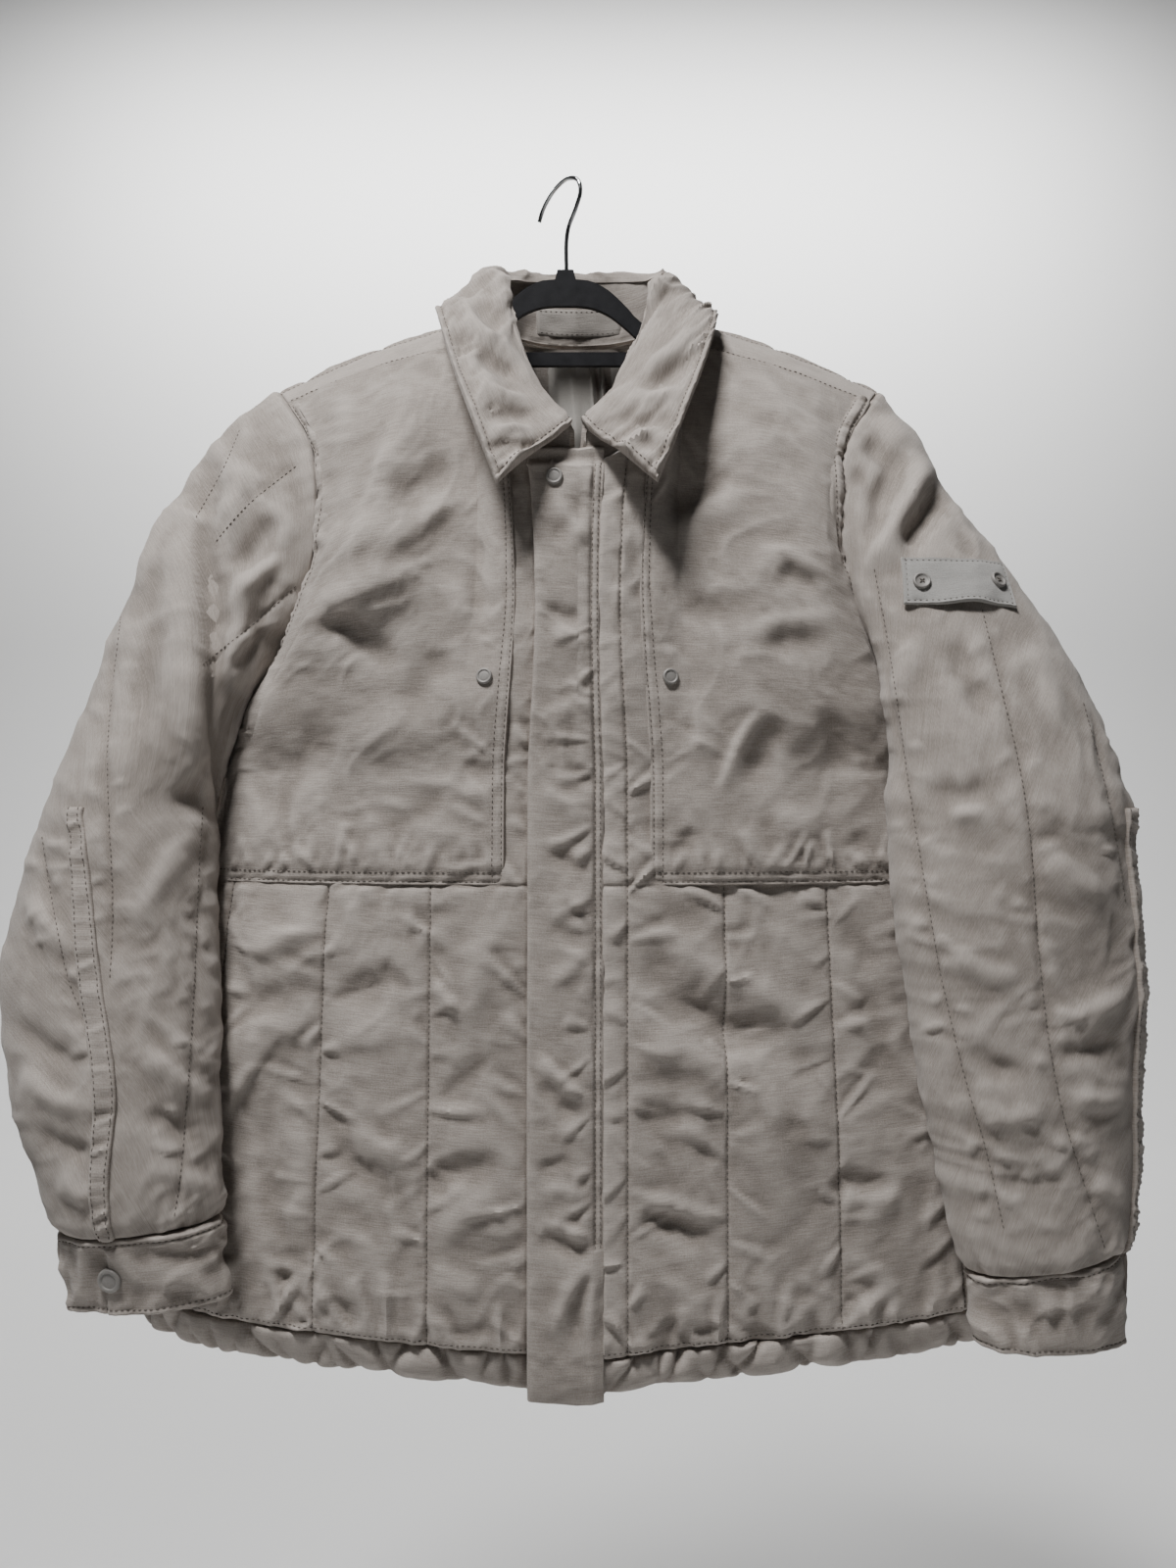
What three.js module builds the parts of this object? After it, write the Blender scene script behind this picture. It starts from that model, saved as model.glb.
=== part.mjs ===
// A quilted overshirt jacket hanging on a plain flat hanger.
// Millimetres, +Z up, the jacket's front faces -Y, and +X is the wearer's left.
// The origin is the underside of the hook's top, where a rail or peg carries it.
import * as THREE from 'three';

// Driving sizes
const JACKET_SHIFT = 10; // the jacket hangs a little to one side of the hook
const WALL = 5; // shell, wadding and lining together
const OVERLAY_WALL = 3; // a chest panel lying on the front
const FLY_WALL = 5;
const FLY_TOP = -239; // the fly ends level, just under the collar's front ends
const COLLAR_WALL = 4;
const SEAM_PULL = 0.25; // each piece stops this short of a seam
const ALL_SEAMS = { bottom: SEAM_PULL, top: SEAM_PULL, start: SEAM_PULL, end: SEAM_PULL };
const LAY_GAP = 0.5; // between a panel and what lies on it
const CHEST_HALF = 280; // half width at the chest seam, where the columns are measured
const CHANNEL_PUFF = 4; // how far a quilted channel stands over its stitch lines
const SLEEVE_PUFF = 3;
const HEM_PUFF = 3.5;
const HEM_STEPS = 2; // ruching steps in each column of the hem band
const SECTION_POWER = 2.3; // how square the body's section is

// The body from hem to underarm: one row for each height, mirrored for the other side.
const BODY = [
  { name: 'hem edge', zSide: -857, zFront: -882, zBack: -912, half: 322, sideY: -30, frontY: -96, backY: 34 },
  { name: 'hem seam', zSide: -828, zFront: -852, zBack: -882, half: 321, sideY: -29, frontY: -99, backY: 36 },
  { name: 'skirt', zSide: -740, zFront: -752, zBack: -765, half: 312, sideY: -27, frontY: -100, backY: 38 },
  { name: 'waist', zSide: -630, zFront: -636, zBack: -640, half: 297, sideY: -24, frontY: -98, backY: 39 },
  { name: 'chest seam', zSide: -528, zFront: -528, zBack: -530, half: CHEST_HALF, sideY: -19, frontY: -93, backY: 40 },
  { name: 'underarm', zSide: -452, zFront: -450, zBack: -452, half: 262, sideY: -12, frontY: -88, backY: 41 },
];
const ROW = Object.fromEntries(BODY.map((row, index) => [row.name, index]));

// Half widths of the columns at the chest seam, from the centre to the side seam.
const COLUMNS = [0, 18, 34, 50, 66, 84, 101, 117, 137, 157, 173, 189, 209, 229, 245, 262, 273, 278.5, CHEST_HALF];
const QUILT_LINES = [34, 101, 173, 245];
const NECK_COLUMN = COLUMNS.indexOf(84);
const PANEL_COLUMN = COLUMNS.indexOf(50); // inner edge of the chest panels

// Edges of the upper body, on the +X side.
const FRONT_ARMHOLE = [
  [262, -12, -452], [240, -38, -410], [211, -52, -362], [192, -57, -308],
  [187, -54, -260], [194, -44, -214], [216, -24, -177],
];
const BACK_ARMHOLE = [
  [262, -12, -452], [249, 12, -415], [233, 27, -370], [223, 34, -310],
  [220, 34, -250], [223, 24, -200], [228, 0, -161],
];
const FRONT_NECKLINE = [[0, -82, -238], [22, -80, -233], [44, -73, -217], [66, -56, -188], [86, -26, -134]];
const BACK_NECKLINE = [[0, 34, -117], [22, 33, -116.5], [44, 29, -114], [66, 19, -110], [84, 2, -106]];
const FRONT_CENTRE = [[0, -88, -450], [0, -87, -380], [0, -85, -310], [0, -82, -238]];
const BACK_CENTRE = [[0, 41, -452], [0, 43, -380], [0, 44, -310], [0, 43, -240], [0, 40, -175], [0, 34, -117]];
const SHOULDER_RIDGE = [[84, 2, -106], [158, 1, -130], [228, 0, -161]];
const SHOULDER_SEAM = [[86, -26, -134], [152, -28, -153], [216, -24, -177]];
const RIDGE_ROUND = 9; // how far the back swells just under the ridge
const ARMHOLE_CENTRE = [205, -8, -310];

// Soft folds of the front: from and to on the panel, half width, and height outwards.
const FOLDS = [
  { from: [-205, -352], to: [-130, -318], half: 22, height: 7 },
  { from: [-196, -300], to: [-120, -285], half: 18, height: 4 },
  { from: [-150, -320], to: [-115, -190], half: 26, height: 5 },
  { from: [-120, -430], to: [-70, -400], half: 24, height: 4 },
  { from: [90, -300], to: [150, -420], half: 26, height: 5 },
  { from: [180, -300], to: [120, -200], half: 24, height: 5 },
  { from: [-240, -660], to: [-190, -580], half: 22, height: 5 },
  { from: [60, -640], to: [150, -700], half: 24, height: 5 },
];

// Sleeve rings, from the armhole's foot to the cuff. side -1 is the wearer's right.
const SLEEVES = {
  right: {
    side: -1,
    seamAt: 3,
    stripRise: 1.2,
    bulge: 30,
    bulgePower: 0.6,
    rings: [
      { z: -472, outer: 371, inner: 262, y: -62, front: 46, back: 42, twist: -13, tilt: 0 },
      { z: -530, outer: 387, inner: 257, y: -72, front: 46, back: 38, twist: 1, tilt: 0 },
      { z: -595, outer: 395, inner: 250, y: -84, front: 44, back: 34, twist: 10, tilt: 0 },
      { z: -660, outer: 383, inner: 246, y: -95, front: 40, back: 29, twist: 14, tilt: 0 },
      { z: -715, outer: 363, inner: 242, y: -103, front: 36, back: 25, twist: 2, tilt: -3 },
      { z: -755, outer: 349, inner: 240, y: -106, front: 32, back: 23, twist: -4, tilt: -5 },
    ],
    cuff: [
      { z: -755.5, outer: 348, inner: 240, y: -106, front: 32, back: 23, twist: -4, tilt: -5 },
      { z: -770, outer: 346, inner: 239, y: -106, front: 29, back: 22, twist: -4, tilt: -5 },
      { z: -808, outer: 339, inner: 237, y: -107, front: 25, back: 21, twist: -4, tilt: -4 },
    ],
  },
  left: {
    side: 1,
    seamAt: 0,
    stripRise: 2.7,
    bulge: 18,
    bulgePower: 2,
    rings: [
      { z: -472, outer: 375, inner: 212, y: -91, front: 44, back: 24, twist: 0, tilt: 0 },
      { z: -530, outer: 376, inner: 217, y: -96, front: 44, back: 27, twist: 0, tilt: 0 },
      { z: -595, outer: 377, inner: 224, y: -99, front: 42, back: 27, twist: 0, tilt: 0 },
      { z: -660, outer: 375, inner: 234, y: -101, front: 40, back: 27, twist: 0, tilt: 2 },
      { z: -722, outer: 375, inner: 248, y: -103, front: 36, back: 25, twist: 0, tilt: 5 },
      { z: -778, outer: 367, inner: 262, y: -105, front: 32, back: 23, twist: 0, tilt: 9 },
    ],
    cuff: [
      { z: -778.5, outer: 367, inner: 262, y: -105, front: 32, back: 23, twist: 0, tilt: 9 },
      { z: -795, outer: 368, inner: 264, y: -105, front: 29, back: 22, twist: 0, tilt: 6 },
      { z: -835, outer: 367, inner: 266, y: -106, front: 25, back: 21, twist: 0, tilt: 1 },
    ],
  },
};
const SLEEVE_FORWARD = 6; // how far a sleeve swells forward below the shoulder
const FRONT_ROWS = 8; // armhole steps of the front, and with the shoulder strip 9
const BACK_ROWS = 9;
const RING_POINTS = FRONT_ROWS + 1 + BACK_ROWS;
const TIP_ANGLE = 20; // where the shoulder tip meets a sleeve ring, in degrees from its outer side
const UNDERARM_ANGLE = 205;
const BODY_CLEARANCE = 13; // a sleeve hangs at least this far in front of the body
const UNDERARM_STEP = 14; // how far a sleeve first steps out sideways under the arm
const CHEST_CLEARANCE = [0, 10, 11]; // and this far in front of the chest panels, by loft step
const SLEEVE_LOFT = [0, 0.12, 0.3, 0.52, 0.76]; // steps between the armhole and the first ring
const RING_STEPS = 2; // steps between two rings of the table
const STRIP_WALL = 2;
const STRIP_HALF = 6.5; // half width of the strip over the back seam of a sleeve
const CUFF_WALL = 4.5;
const TAB = { from: 224, to: 302, bottom: -338, top: -302, lift: 2.8, wall: 1.8 };

// Collar: the fold line and the leaf's edge, from the back's centre to the front end.
const COLLAR_FOLD = [
  [0, 29, -64], [30, 27, -64], [56, 14, -68], [66, -8, -75],
  [58, -24, -99], [45, -44, -139], [27, -66, -181], [2.5, -84, -213],
];
const COLLAR_EDGE = [
  [0, 61, -124], [38, 59, -122], [78, 45, -116], [98, 12, -104],
  [101, -36, -123], [89, -72, -166], [72, -98, -214], [54, -112, -260],
];
const COLLAR_RISE = 3; // how far the leaf swells between its fold and its edge
const LEAF_STEPS = [0, 0.1, 0.3, 0.6, 1];

// Hanger
const HANGER_THICK = 5;
const HANGER_ARM = [
  { x: 8, top: -75.5, band: 20 },
  { x: 20, top: -77, band: 20 },
  { x: 33, top: -84, band: 18.5 },
  { x: 46, top: -96, band: 16.5 },
  { x: 58, top: -108.5, band: 14 },
  { x: 84, top: -122, band: 12 },
  { x: 125, top: -137, band: 13 },
  { x: 165, top: -153, band: 14 },
  { x: 205, top: -170, band: 15 },
];
const HANGER_BAR = { top: -131, bottom: -141 };
const HANGER_NECK = { half: 6, top: -68 };
const WIRE_RADIUS = 1.6;
const HOOK_TURN = 42; // degrees the hook is turned out of the hanger's plane
const HOOK_PATH = [
  [1, -67.6], [1, -46], [3, -36], [11, -23], [15.5, -12], [12.5, -2.5],
  [2, 1.6], [-10, -1.5], [-20, -9], [-25, -15.5], [-28, -22],
];

const FABRIC = { color: 0x9c938a, roughness: 0.92, metalness: 0 };
const DARK_FABRIC = { color: 0x8b8279, roughness: 0.95, metalness: 0 };
const LINING = { color: 0xa49c90, roughness: 0.6, metalness: 0 };
const SNAP = { color: 0x85827c, roughness: 0.45, metalness: 0.7 };
const PLASTIC = { color: 0x1b1d20, roughness: 0.55, metalness: 0 };
const CHROME = { color: 0xc9cccf, roughness: 0.15, metalness: 1 };

// Vectors
const lerp = (a, b, t) => a + (b - a) * t;
const mix = (p, q, t) => p.map((value, axis) => lerp(value, q[axis], t));
const add = (p, q, scale = 1) => p.map((value, axis) => value + q[axis] * scale);
const minus = (p, q) => p.map((value, axis) => value - q[axis]);
const dot = (p, q) => p[0] * q[0] + p[1] * q[1] + p[2] * q[2];
const unit = (p) => p.map((value) => value / (Math.hypot(...p) || 1));
const cross = (p, q) => [
  p[1] * q[2] - p[2] * q[1],
  p[2] * q[0] - p[0] * q[2],
  p[0] * q[1] - p[1] * q[0],
];
const mirrored = (p, side) => [p[0] * side, p[1], p[2]];
const radians = (degrees) => (degrees * Math.PI) / 180;

// A smooth curve through evenly spaced points, at t from 0 to 1.
function through(points, t) {
  const spans = points.length - 1;
  const place = Math.min(Math.max(t, 0), 1) * spans;
  const span = Math.min(Math.floor(place), spans - 1);
  const local = place - span;
  const at = (index) => points[Math.min(Math.max(index, 0), spans)];
  const [a, b, c, d] = [at(span - 1), at(span), at(span + 1), at(span + 2)];
  return b.map((value, axis) => {
    const slopeIn = (c[axis] - a[axis]) / 2;
    const slopeOut = (d[axis] - value) / 2;
    const rise = c[axis] - value;
    return value + local * (slopeIn + local * (3 * rise - 2 * slopeIn - slopeOut
      + local * (slopeIn + slopeOut - 2 * rise)));
  });
}

// One row of a table of named columns, smoothly between its rows.
function tableRow(rows, place) {
  const keys = Object.keys(rows[0]).filter((key) => key !== 'name');
  const values = through(rows.map((row) => keys.map((key) => row[key])), place / (rows.length - 1));
  return Object.fromEntries(keys.map((key, index) => [key, values[index]]));
}

// A point of the body below the underarm. fraction runs from 0 at the centre to 1 at the side.
function bodyPoint(place, fraction, face) {
  const row = tableRow(BODY, place);
  const x = CHEST_HALF * fraction + (row.half - CHEST_HALF) * fraction ** 3;
  const across = Math.min(x / row.half, 1);
  const swell = (1 - across ** SECTION_POWER) ** (1 / SECTION_POWER);
  const centreY = face === 'front' ? row.frontY : row.backY;
  const centreZ = face === 'front' ? row.zFront : row.zBack;
  return [x, lerp(row.sideY, centreY, swell), lerp(centreZ, row.zSide, across)];
}

// A Coons patch over the underarm row: rise 0 there and 1 at the shoulder and neckline.
function upperPoint(fraction, rise, face) {
  const neck = COLUMNS[NECK_COLUMN] / CHEST_HALF;
  const front = face === 'front';
  const seam = front ? SHOULDER_SEAM : SHOULDER_RIDGE;
  const neckline = front ? FRONT_NECKLINE : BACK_NECKLINE;
  const topAt = (f) => (f <= neck ? through(neckline, f / neck) : through(seam, (f - neck) / (1 - neck)));
  const foot = bodyPoint(ROW.underarm, fraction, face);
  const corner = bodyPoint(ROW.underarm, 1, face);
  const centreFoot = bodyPoint(ROW.underarm, 0, face);
  const sideEdge = through(front ? FRONT_ARMHOLE : BACK_ARMHOLE, rise);
  const centreEdge = through(front ? FRONT_CENTRE : BACK_CENTRE, rise);
  const point = [0, 1, 2].map((axis) => lerp(foot[axis], topAt(fraction)[axis], rise)
    + lerp(centreEdge[axis], sideEdge[axis], fraction)
    - lerp(
      lerp(centreFoot[axis], corner[axis], fraction),
      lerp(topAt(0)[axis], topAt(1)[axis], fraction),
      rise,
    ));
  if (!front) {
    const under = Math.min((1 - rise) / 0.3, 1);
    point[1] += RIDGE_ROUND * 4 * under * (1 - under) * Math.min(1, 2 * fraction) * (fraction < 1 ? 1 : 0);
  }
  return point;
}

// How far the soft folds lift the front at a point.
function foldHeight(x, z) {
  return FOLDS.reduce((total, fold) => {
    const along = [fold.to[0] - fold.from[0], fold.to[1] - fold.from[1]];
    const length2 = along[0] ** 2 + along[1] ** 2;
    const place = ((x - fold.from[0]) * along[0] + (z - fold.from[1]) * along[1]) / length2;
    const clamped = Math.min(Math.max(place, 0), 1);
    const off = Math.hypot(x - fold.from[0] - along[0] * clamped, z - fold.from[1] - along[1] * clamped);
    return total + fold.height * Math.exp(-((off / fold.half) ** 2));
  }, 0);
}

// Rows of a panel from the hem seam to its top: body rows first, then the upper patch.
const LOWER_PLACES = [
  1, 1.25, 1.62, 2, 2.36, 2.72, 3.08, 3.42, 3.7, ROW['chest seam'], 4.11, 4.55, ROW.underarm,
];
const CHEST_ROW = LOWER_PLACES.indexOf(ROW['chest seam']);
const UNDERARM_ROW = LOWER_PLACES.length - 1;

function panelRows(face) {
  const steps = face === 'front' ? FRONT_ROWS : BACK_ROWS;
  const lower = LOWER_PLACES.map((place) => (f) => bodyPoint(place, f, face));
  const upper = Array.from({ length: steps }, (_, index) => (f) => upperPoint(f, (index + 1) / steps, face));
  return [...lower, ...upper];
}

// Unit normals of a grid of points, pointing away from inside.
function gridNormals(grid, inside, around = false) {
  const last = grid[0].length - 1;
  return grid.map((row, j) => row.map((point, i) => {
    const below = grid[Math.max(j - 1, 0)][i];
    const above = grid[Math.min(j + 1, grid.length - 1)][i];
    const before = around ? row[(i + last) % (last + 1)] : row[Math.max(i - 1, 0)];
    const after = around ? row[(i + 1) % (last + 1)] : row[Math.min(i + 1, last)];
    const normal = unit(cross(minus(after, before), minus(above, below)));
    return dot(normal, minus(point, inside(point))) < 0 ? normal.map((value) => -value) : normal;
  }));
}

// Moves the chosen edges of a grid away from their seams. Each seam is the ruled face
// that the inward directions span along the edge, and the move is square to it.
function pullIn(grid, edges, inward) {
  const rows = grid.length - 1;
  const columns = grid[0].length - 1;
  const moved = grid.map((row) => row.map((point) => [...point]));
  const clampRow = (j) => Math.min(Math.max(j, 0), rows);
  const clampColumn = (i) => Math.min(Math.max(i, 0), columns);
  const shift = (j, i, towardsJ, towardsI, pull) => {
    const alongRow = towardsJ !== j;
    const ahead = alongRow ? grid[j][clampColumn(i + 1)] : grid[clampRow(j + 1)][i];
    const behind = alongRow ? grid[j][clampColumn(i - 1)] : grid[clampRow(j - 1)][i];
    const square = unit(cross(unit(minus(ahead, behind)), inward[j][i]));
    const towards = minus(grid[towardsJ][towardsI], grid[j][i]);
    moved[j][i] = add(moved[j][i], square, dot(square, towards) < 0 ? -pull : pull);
  };
  for (let i = 0; i <= columns; i += 1) {
    if (edges.bottom) shift(0, i, 1, i, edges.bottom);
    if (edges.top) shift(rows, i, rows - 1, i, edges.top);
  }
  for (let j = 0; j <= rows; j += 1) {
    if (edges.start) shift(j, 0, j, 1, edges.start);
    if (edges.end) shift(j, columns, j, columns - 1, edges.end);
  }
  return moved;
}

// A closed solid between an outer and an inner grid of points.
function wallSolid(name, outer, inner, material, around = false) {
  const rows = outer.length;
  const columns = outer[0].length;
  const corners = [...outer.flat(), ...inner.flat()];
  const at = (j, i, layer) => layer * rows * columns + j * columns + (i % columns);
  const faces = [];
  const quad = (a, b, c, d) => faces.push([a, b, c], [a, c, d]);
  const spans = around ? columns : columns - 1;
  for (let j = 0; j < rows - 1; j += 1) {
    for (let i = 0; i < spans; i += 1) {
      quad(at(j, i, 0), at(j, i + 1, 0), at(j + 1, i + 1, 0), at(j + 1, i, 0));
      quad(at(j, i, 1), at(j + 1, i, 1), at(j + 1, i + 1, 1), at(j, i + 1, 1));
    }
  }
  for (let i = 0; i < spans; i += 1) {
    quad(at(0, i, 0), at(0, i, 1), at(0, i + 1, 1), at(0, i + 1, 0));
    quad(at(rows - 1, i, 0), at(rows - 1, i + 1, 0), at(rows - 1, i + 1, 1), at(rows - 1, i, 1));
  }
  if (!around) {
    for (let j = 0; j < rows - 1; j += 1) {
      quad(at(j, 0, 0), at(j + 1, 0, 0), at(j + 1, 0, 1), at(j, 0, 1));
      quad(at(j, spans, 0), at(j, spans, 1), at(j + 1, spans, 1), at(j + 1, spans, 0));
    }
  }
  return solidMesh(name, corners, faces, material);
}

// A mesh from shared corners, turned so that its faces point out.
function solidMesh(name, corners, faces, material) {
  const volume = faces.reduce(
    (sum, [a, b, c]) => sum + dot(corners[a], cross(corners[b], corners[c])),
    0,
  );
  const facing = volume < 0 ? faces.map(([a, b, c]) => [a, c, b]) : faces;
  const geometry = new THREE.BufferGeometry();
  geometry.setAttribute('position', new THREE.Float32BufferAttribute(corners.flat(), 3));
  geometry.setIndex(facing.flat());
  geometry.computeVertexNormals();
  const mesh = new THREE.Mesh(geometry, new THREE.MeshStandardMaterial(material));
  mesh.name = name;
  return mesh;
}

// Height of the quilted channels over their stitch lines, at a column's chest width.
function channelPuff(width) {
  const next = QUILT_LINES.findIndex((line) => line >= width);
  const from = next > 0 ? QUILT_LINES[next - 1] : QUILT_LINES.at(-1);
  const to = next === -1 ? CHEST_HALF : QUILT_LINES[next];
  if (next === 0) return 0;
  const across = (width - from) / (to - from);
  return CHANNEL_PUFF * 4 * across * (1 - across);
}

// Directions into the armhole ring, square to its edge.
function armholeInward(ring, index, side) {
  const count = ring.length;
  const along = unit(minus(ring[(index + 1) % count], ring[(index + count - 1) % count]));
  const inward = minus(mirrored(ARMHOLE_CENTRE, side), ring[index]);
  return unit(add(inward, along, -dot(inward, along)));
}

// The armhole ring: down the strip and the front to the underarm, then up the back.
function armholeRing(side) {
  const front = Array.from({ length: FRONT_ROWS + 1 }, (_, k) => through(FRONT_ARMHOLE, 1 - k / FRONT_ROWS));
  const back = Array.from({ length: BACK_ROWS - 1 }, (_, k) => through(BACK_ARMHOLE, (k + 1) / BACK_ROWS));
  return [BACK_ARMHOLE.at(-1), ...front, ...back].map((point) => mirrored(point, side));
}

// Outer and inner grids of one half of the front or the back.
function halfPanel(face, side) {
  const base = panelRows(face).map((rowAt) => COLUMNS.map((width) => {
    const point = mirrored(rowAt(width / CHEST_HALF), side);
    if (face === 'front' && width < CHEST_HALF) {
      const edgeFade = Math.min(1, (CHEST_HALF - width) / 30) * Math.min(1, width / 40);
      point[1] -= foldHeight(point[0], point[2]) * edgeFade;
    }
    return point;
  }));
  const middle = (point) => [point[0] * 0.5, -20, Math.min(point[2] - 40, -260)];
  const outward = gridNormals(base, middle);
  const ring = armholeRing(side);
  const ringIndex = (j) => (face === 'front'
    ? 1 + FRONT_ROWS - (j - UNDERARM_ROW)
    : (1 + FRONT_ROWS + (j - UNDERARM_ROW)) % RING_POINTS);
  const inward = outward.map((row, j) => row.map((normal, i) => {
    const atSide = i === COLUMNS.length - 1;
    if (atSide && j >= UNDERARM_ROW) return armholeInward(ring, ringIndex(j), side);
    if (atSide) return [-side, 0, 0];
    if (i === 0) return unit([0, -normal[1], j < UNDERARM_ROW ? 0 : -normal[2]]);
    if (j < UNDERARM_ROW) return unit([-normal[0], -normal[1], 0]);
    if (j === base.length - 1 && i >= NECK_COLUMN) return shoulderInward(face);
    return normal.map((value) => -value);
  }));
  const top = base.length - 1;
  const outer = base.map((row, j) => row.map((point, i) => {
    const quilted = face === 'back' || j < CHEST_ROW;
    const edgeFade = j === 0 || j === top || i === COLUMNS.length - 1 ? 0 : 1;
    return add(point, inward[j][i], quilted ? -channelPuff(COLUMNS[i]) * edgeFade : 0);
  }));
  const inner = base.map((row, j) => row.map((point, i) => add(point, inward[j][i], WALL)));
  return { base, outer, inner, inward };
}

const shoulderInward = (face) => (face === 'front' ? unit([0, 0.55, -0.84]) : [0, 0, -1]);

// A chest panel: the front's own points moved out, from the chest seam to near the shoulder.
function chestPanel(name, panel) {
  const layer = (out) => {
    const rows = panel.base.map((row, j) => row.map((point, i) => add(point, panel.inward[j][i], -out)));
    const laid = rows.slice(CHEST_ROW).map((row) => row.slice(PANEL_COLUMN, -3));
    const [under, top] = laid.slice(-2);
    const trimmed = top.map((point, i) => mix(point, under[i], 0.08));
    return [...laid.slice(0, -1), trimmed];
  };
  return wallSolid(name, layer(LAY_GAP + OVERLAY_WALL), layer(LAY_GAP), FABRIC);
}

// A wall whose edges stop short of their seams.
function sewnWall(name, outer, inner, inward, edges, material) {
  return wallSolid(name, pullIn(outer, edges, inward), pullIn(inner, edges, inward), material);
}

function frontPieces(side, label) {
  const panel = halfPanel('front', side);
  const whole = sewnWall(`front_${label}`, panel.outer, panel.inner, panel.inward, ALL_SEAMS, FABRIC);
  const chest = chestPanel(`chest_panel_${label}`, panel);
  return { panel, meshes: [whole, chest] };
}

// The whole back, side seam to side seam.
function backPiece() {
  const right = halfPanel('back', -1);
  const left = halfPanel('back', 1);
  const whole = (key) => right[key].map((row, j) => [...[...row].reverse(), ...left[key][j].slice(1)]);
  return {
    inner: whole('inner'),
    inward: whole('inward'),
    mesh: sewnWall('back', whole('outer'), whole('inner'), whole('inward'), ALL_SEAMS, FABRIC),
  };
}

// The strip over the shoulder, between the ridge and the forward seam.
function shoulderStrip(side, label) {
  const columns = COLUMNS.slice(NECK_COLUMN).map((width) => width / CHEST_HALF);
  const rowAt = (seam) => columns.map((f) => {
    const neck = columns[0];
    return mirrored(through(seam, (f - neck) / (1 - neck)), side);
  });
  const rows = [rowAt(SHOULDER_SEAM), rowAt(SHOULDER_RIDGE)];
  const ring = armholeRing(side);
  const inward = rows.map((row, j) => row.map((_, i) => {
    const atTip = i === columns.length - 1;
    return atTip ? armholeInward(ring, j === 0 ? 1 : 0, side) : shoulderInward(j === 0 ? 'front' : 'back');
  }));
  const inner = rows.map((row, j) => row.map((point, i) => add(point, inward[j][i], WALL)));
  return sewnWall(`shoulder_strip_${label}`, rows, inner, inward, ALL_SEAMS, FABRIC);
}

// The ruched hem band of one face, between two chest widths.
function hemBand(name, face, from, to) {
  const widths = [];
  const signed = [...[...COLUMNS].reverse().map((width) => -width), ...COLUMNS.slice(1)];
  signed.filter((width) => width >= from && width <= to).forEach((width, index, all) => {
    if (index > 0) {
      for (let step = 1; step < HEM_STEPS; step += 1) widths.push(lerp(all[index - 1], width, step / HEM_STEPS));
    }
    widths.push(width);
  });
  const places = [0, 0.3, 0.75, 1];
  const swells = [0.2, 1, 1, 0];
  const base = places.map((place) => widths.map((width) => mirrored(
    bodyPoint(place, Math.abs(width) / CHEST_HALF, face),
    Math.sign(width) || 1,
  )));
  const outward = gridNormals(base, (point) => [point[0] * 0.5, -20, point[2]]);
  const inward = outward.map((row) => row.map((normal, i) => {
    if (Math.abs(widths[i]) === CHEST_HALF) return [-Math.sign(widths[i]), 0, 0];
    return unit([widths[i] === 0 ? 0 : -normal[0], -normal[1], 0]);
  }));
  const outer = base.map((row, j) => row.map((point, i) => {
    const underFly = face === 'front' && Math.abs(widths[i]) < COLUMNS[PANEL_COLUMN] ? 0 : 1;
    const atSide = Math.abs(widths[i]) === CHEST_HALF ? 0 : 1;
    const wave = i % 2 ? 1 : 0.15;
    const uneven = 0.8 + 0.2 * Math.sin(i * 1.7 + j);
    return add(point, inward[j][i], -HEM_PUFF * swells[j] * wave * uneven * underFly * atSide);
  }));
  const inner = base.map((row, j) => row.map((point, i) => add(point, inward[j][i], WALL)));
  const edges = { top: SEAM_PULL, start: SEAM_PULL, end: SEAM_PULL };
  return sewnWall(name, outer, inner, inward, edges, FABRIC);
}

// The fly over the meeting fronts, from the neckline to the hem's edge.
function flyPiece(right, left) {
  const lastColumn = { right: COLUMNS.indexOf(34), left: COLUMNS.indexOf(18) };
  const hemWidths = [-34, -18, 0, 18];
  const hemRows = [0, 0.3, 0.75].map((place) => hemWidths.map((width) => mirrored(
    bodyPoint(place, Math.abs(width) / CHEST_HALF, 'front'),
    Math.sign(width) || 1,
  )));
  const bodyRows = right.base.map((row, j) => [
    row[lastColumn.right], row[1], row[0], left.base[j][lastColumn.left],
  ]);
  const neckRow = bodyRows.pop();
  const topRow = neckRow.map((point, i) => {
    const under = bodyRows.at(-1)[i];
    return mix(under, point, Math.min(1, (FLY_TOP - under[2]) / (point[2] - under[2])));
  });
  const base = [...hemRows, ...bodyRows, topRow];
  const outward = gridNormals(base, (point) => [point[0], 0, point[2]]);
  const moved = (out) => base.map((row, j) => row.map((point, i) => add(point, outward[j][i], out)));
  return wallSolid('fly', moved(2 * LAY_GAP + FLY_WALL), moved(2 * LAY_GAP), FABRIC);
}

// A ring of a sleeve or cuff from one row of its table.
function sleeveRing(row, side) {
  return Array.from({ length: RING_POINTS }, (_, k) => {
    const half = RING_POINTS / 2;
    const angle = k <= half
      ? lerp(TIP_ANGLE, UNDERARM_ANGLE, k / half)
      : lerp(360 + TIP_ANGLE, UNDERARM_ANGLE, (2 - k / half) ** 1.25);
    const turn = radians(angle + row.twist);
    const depth = Math.sin(turn) > 0 ? row.front : row.back;
    const middle = (row.outer + row.inner) / 2;
    const x = middle + ((row.outer - row.inner) / 2) * Math.cos(turn);
    return [x * side, row.y - depth * Math.sin(turn), row.z + row.tilt * Math.cos(turn)];
  });
}

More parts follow.
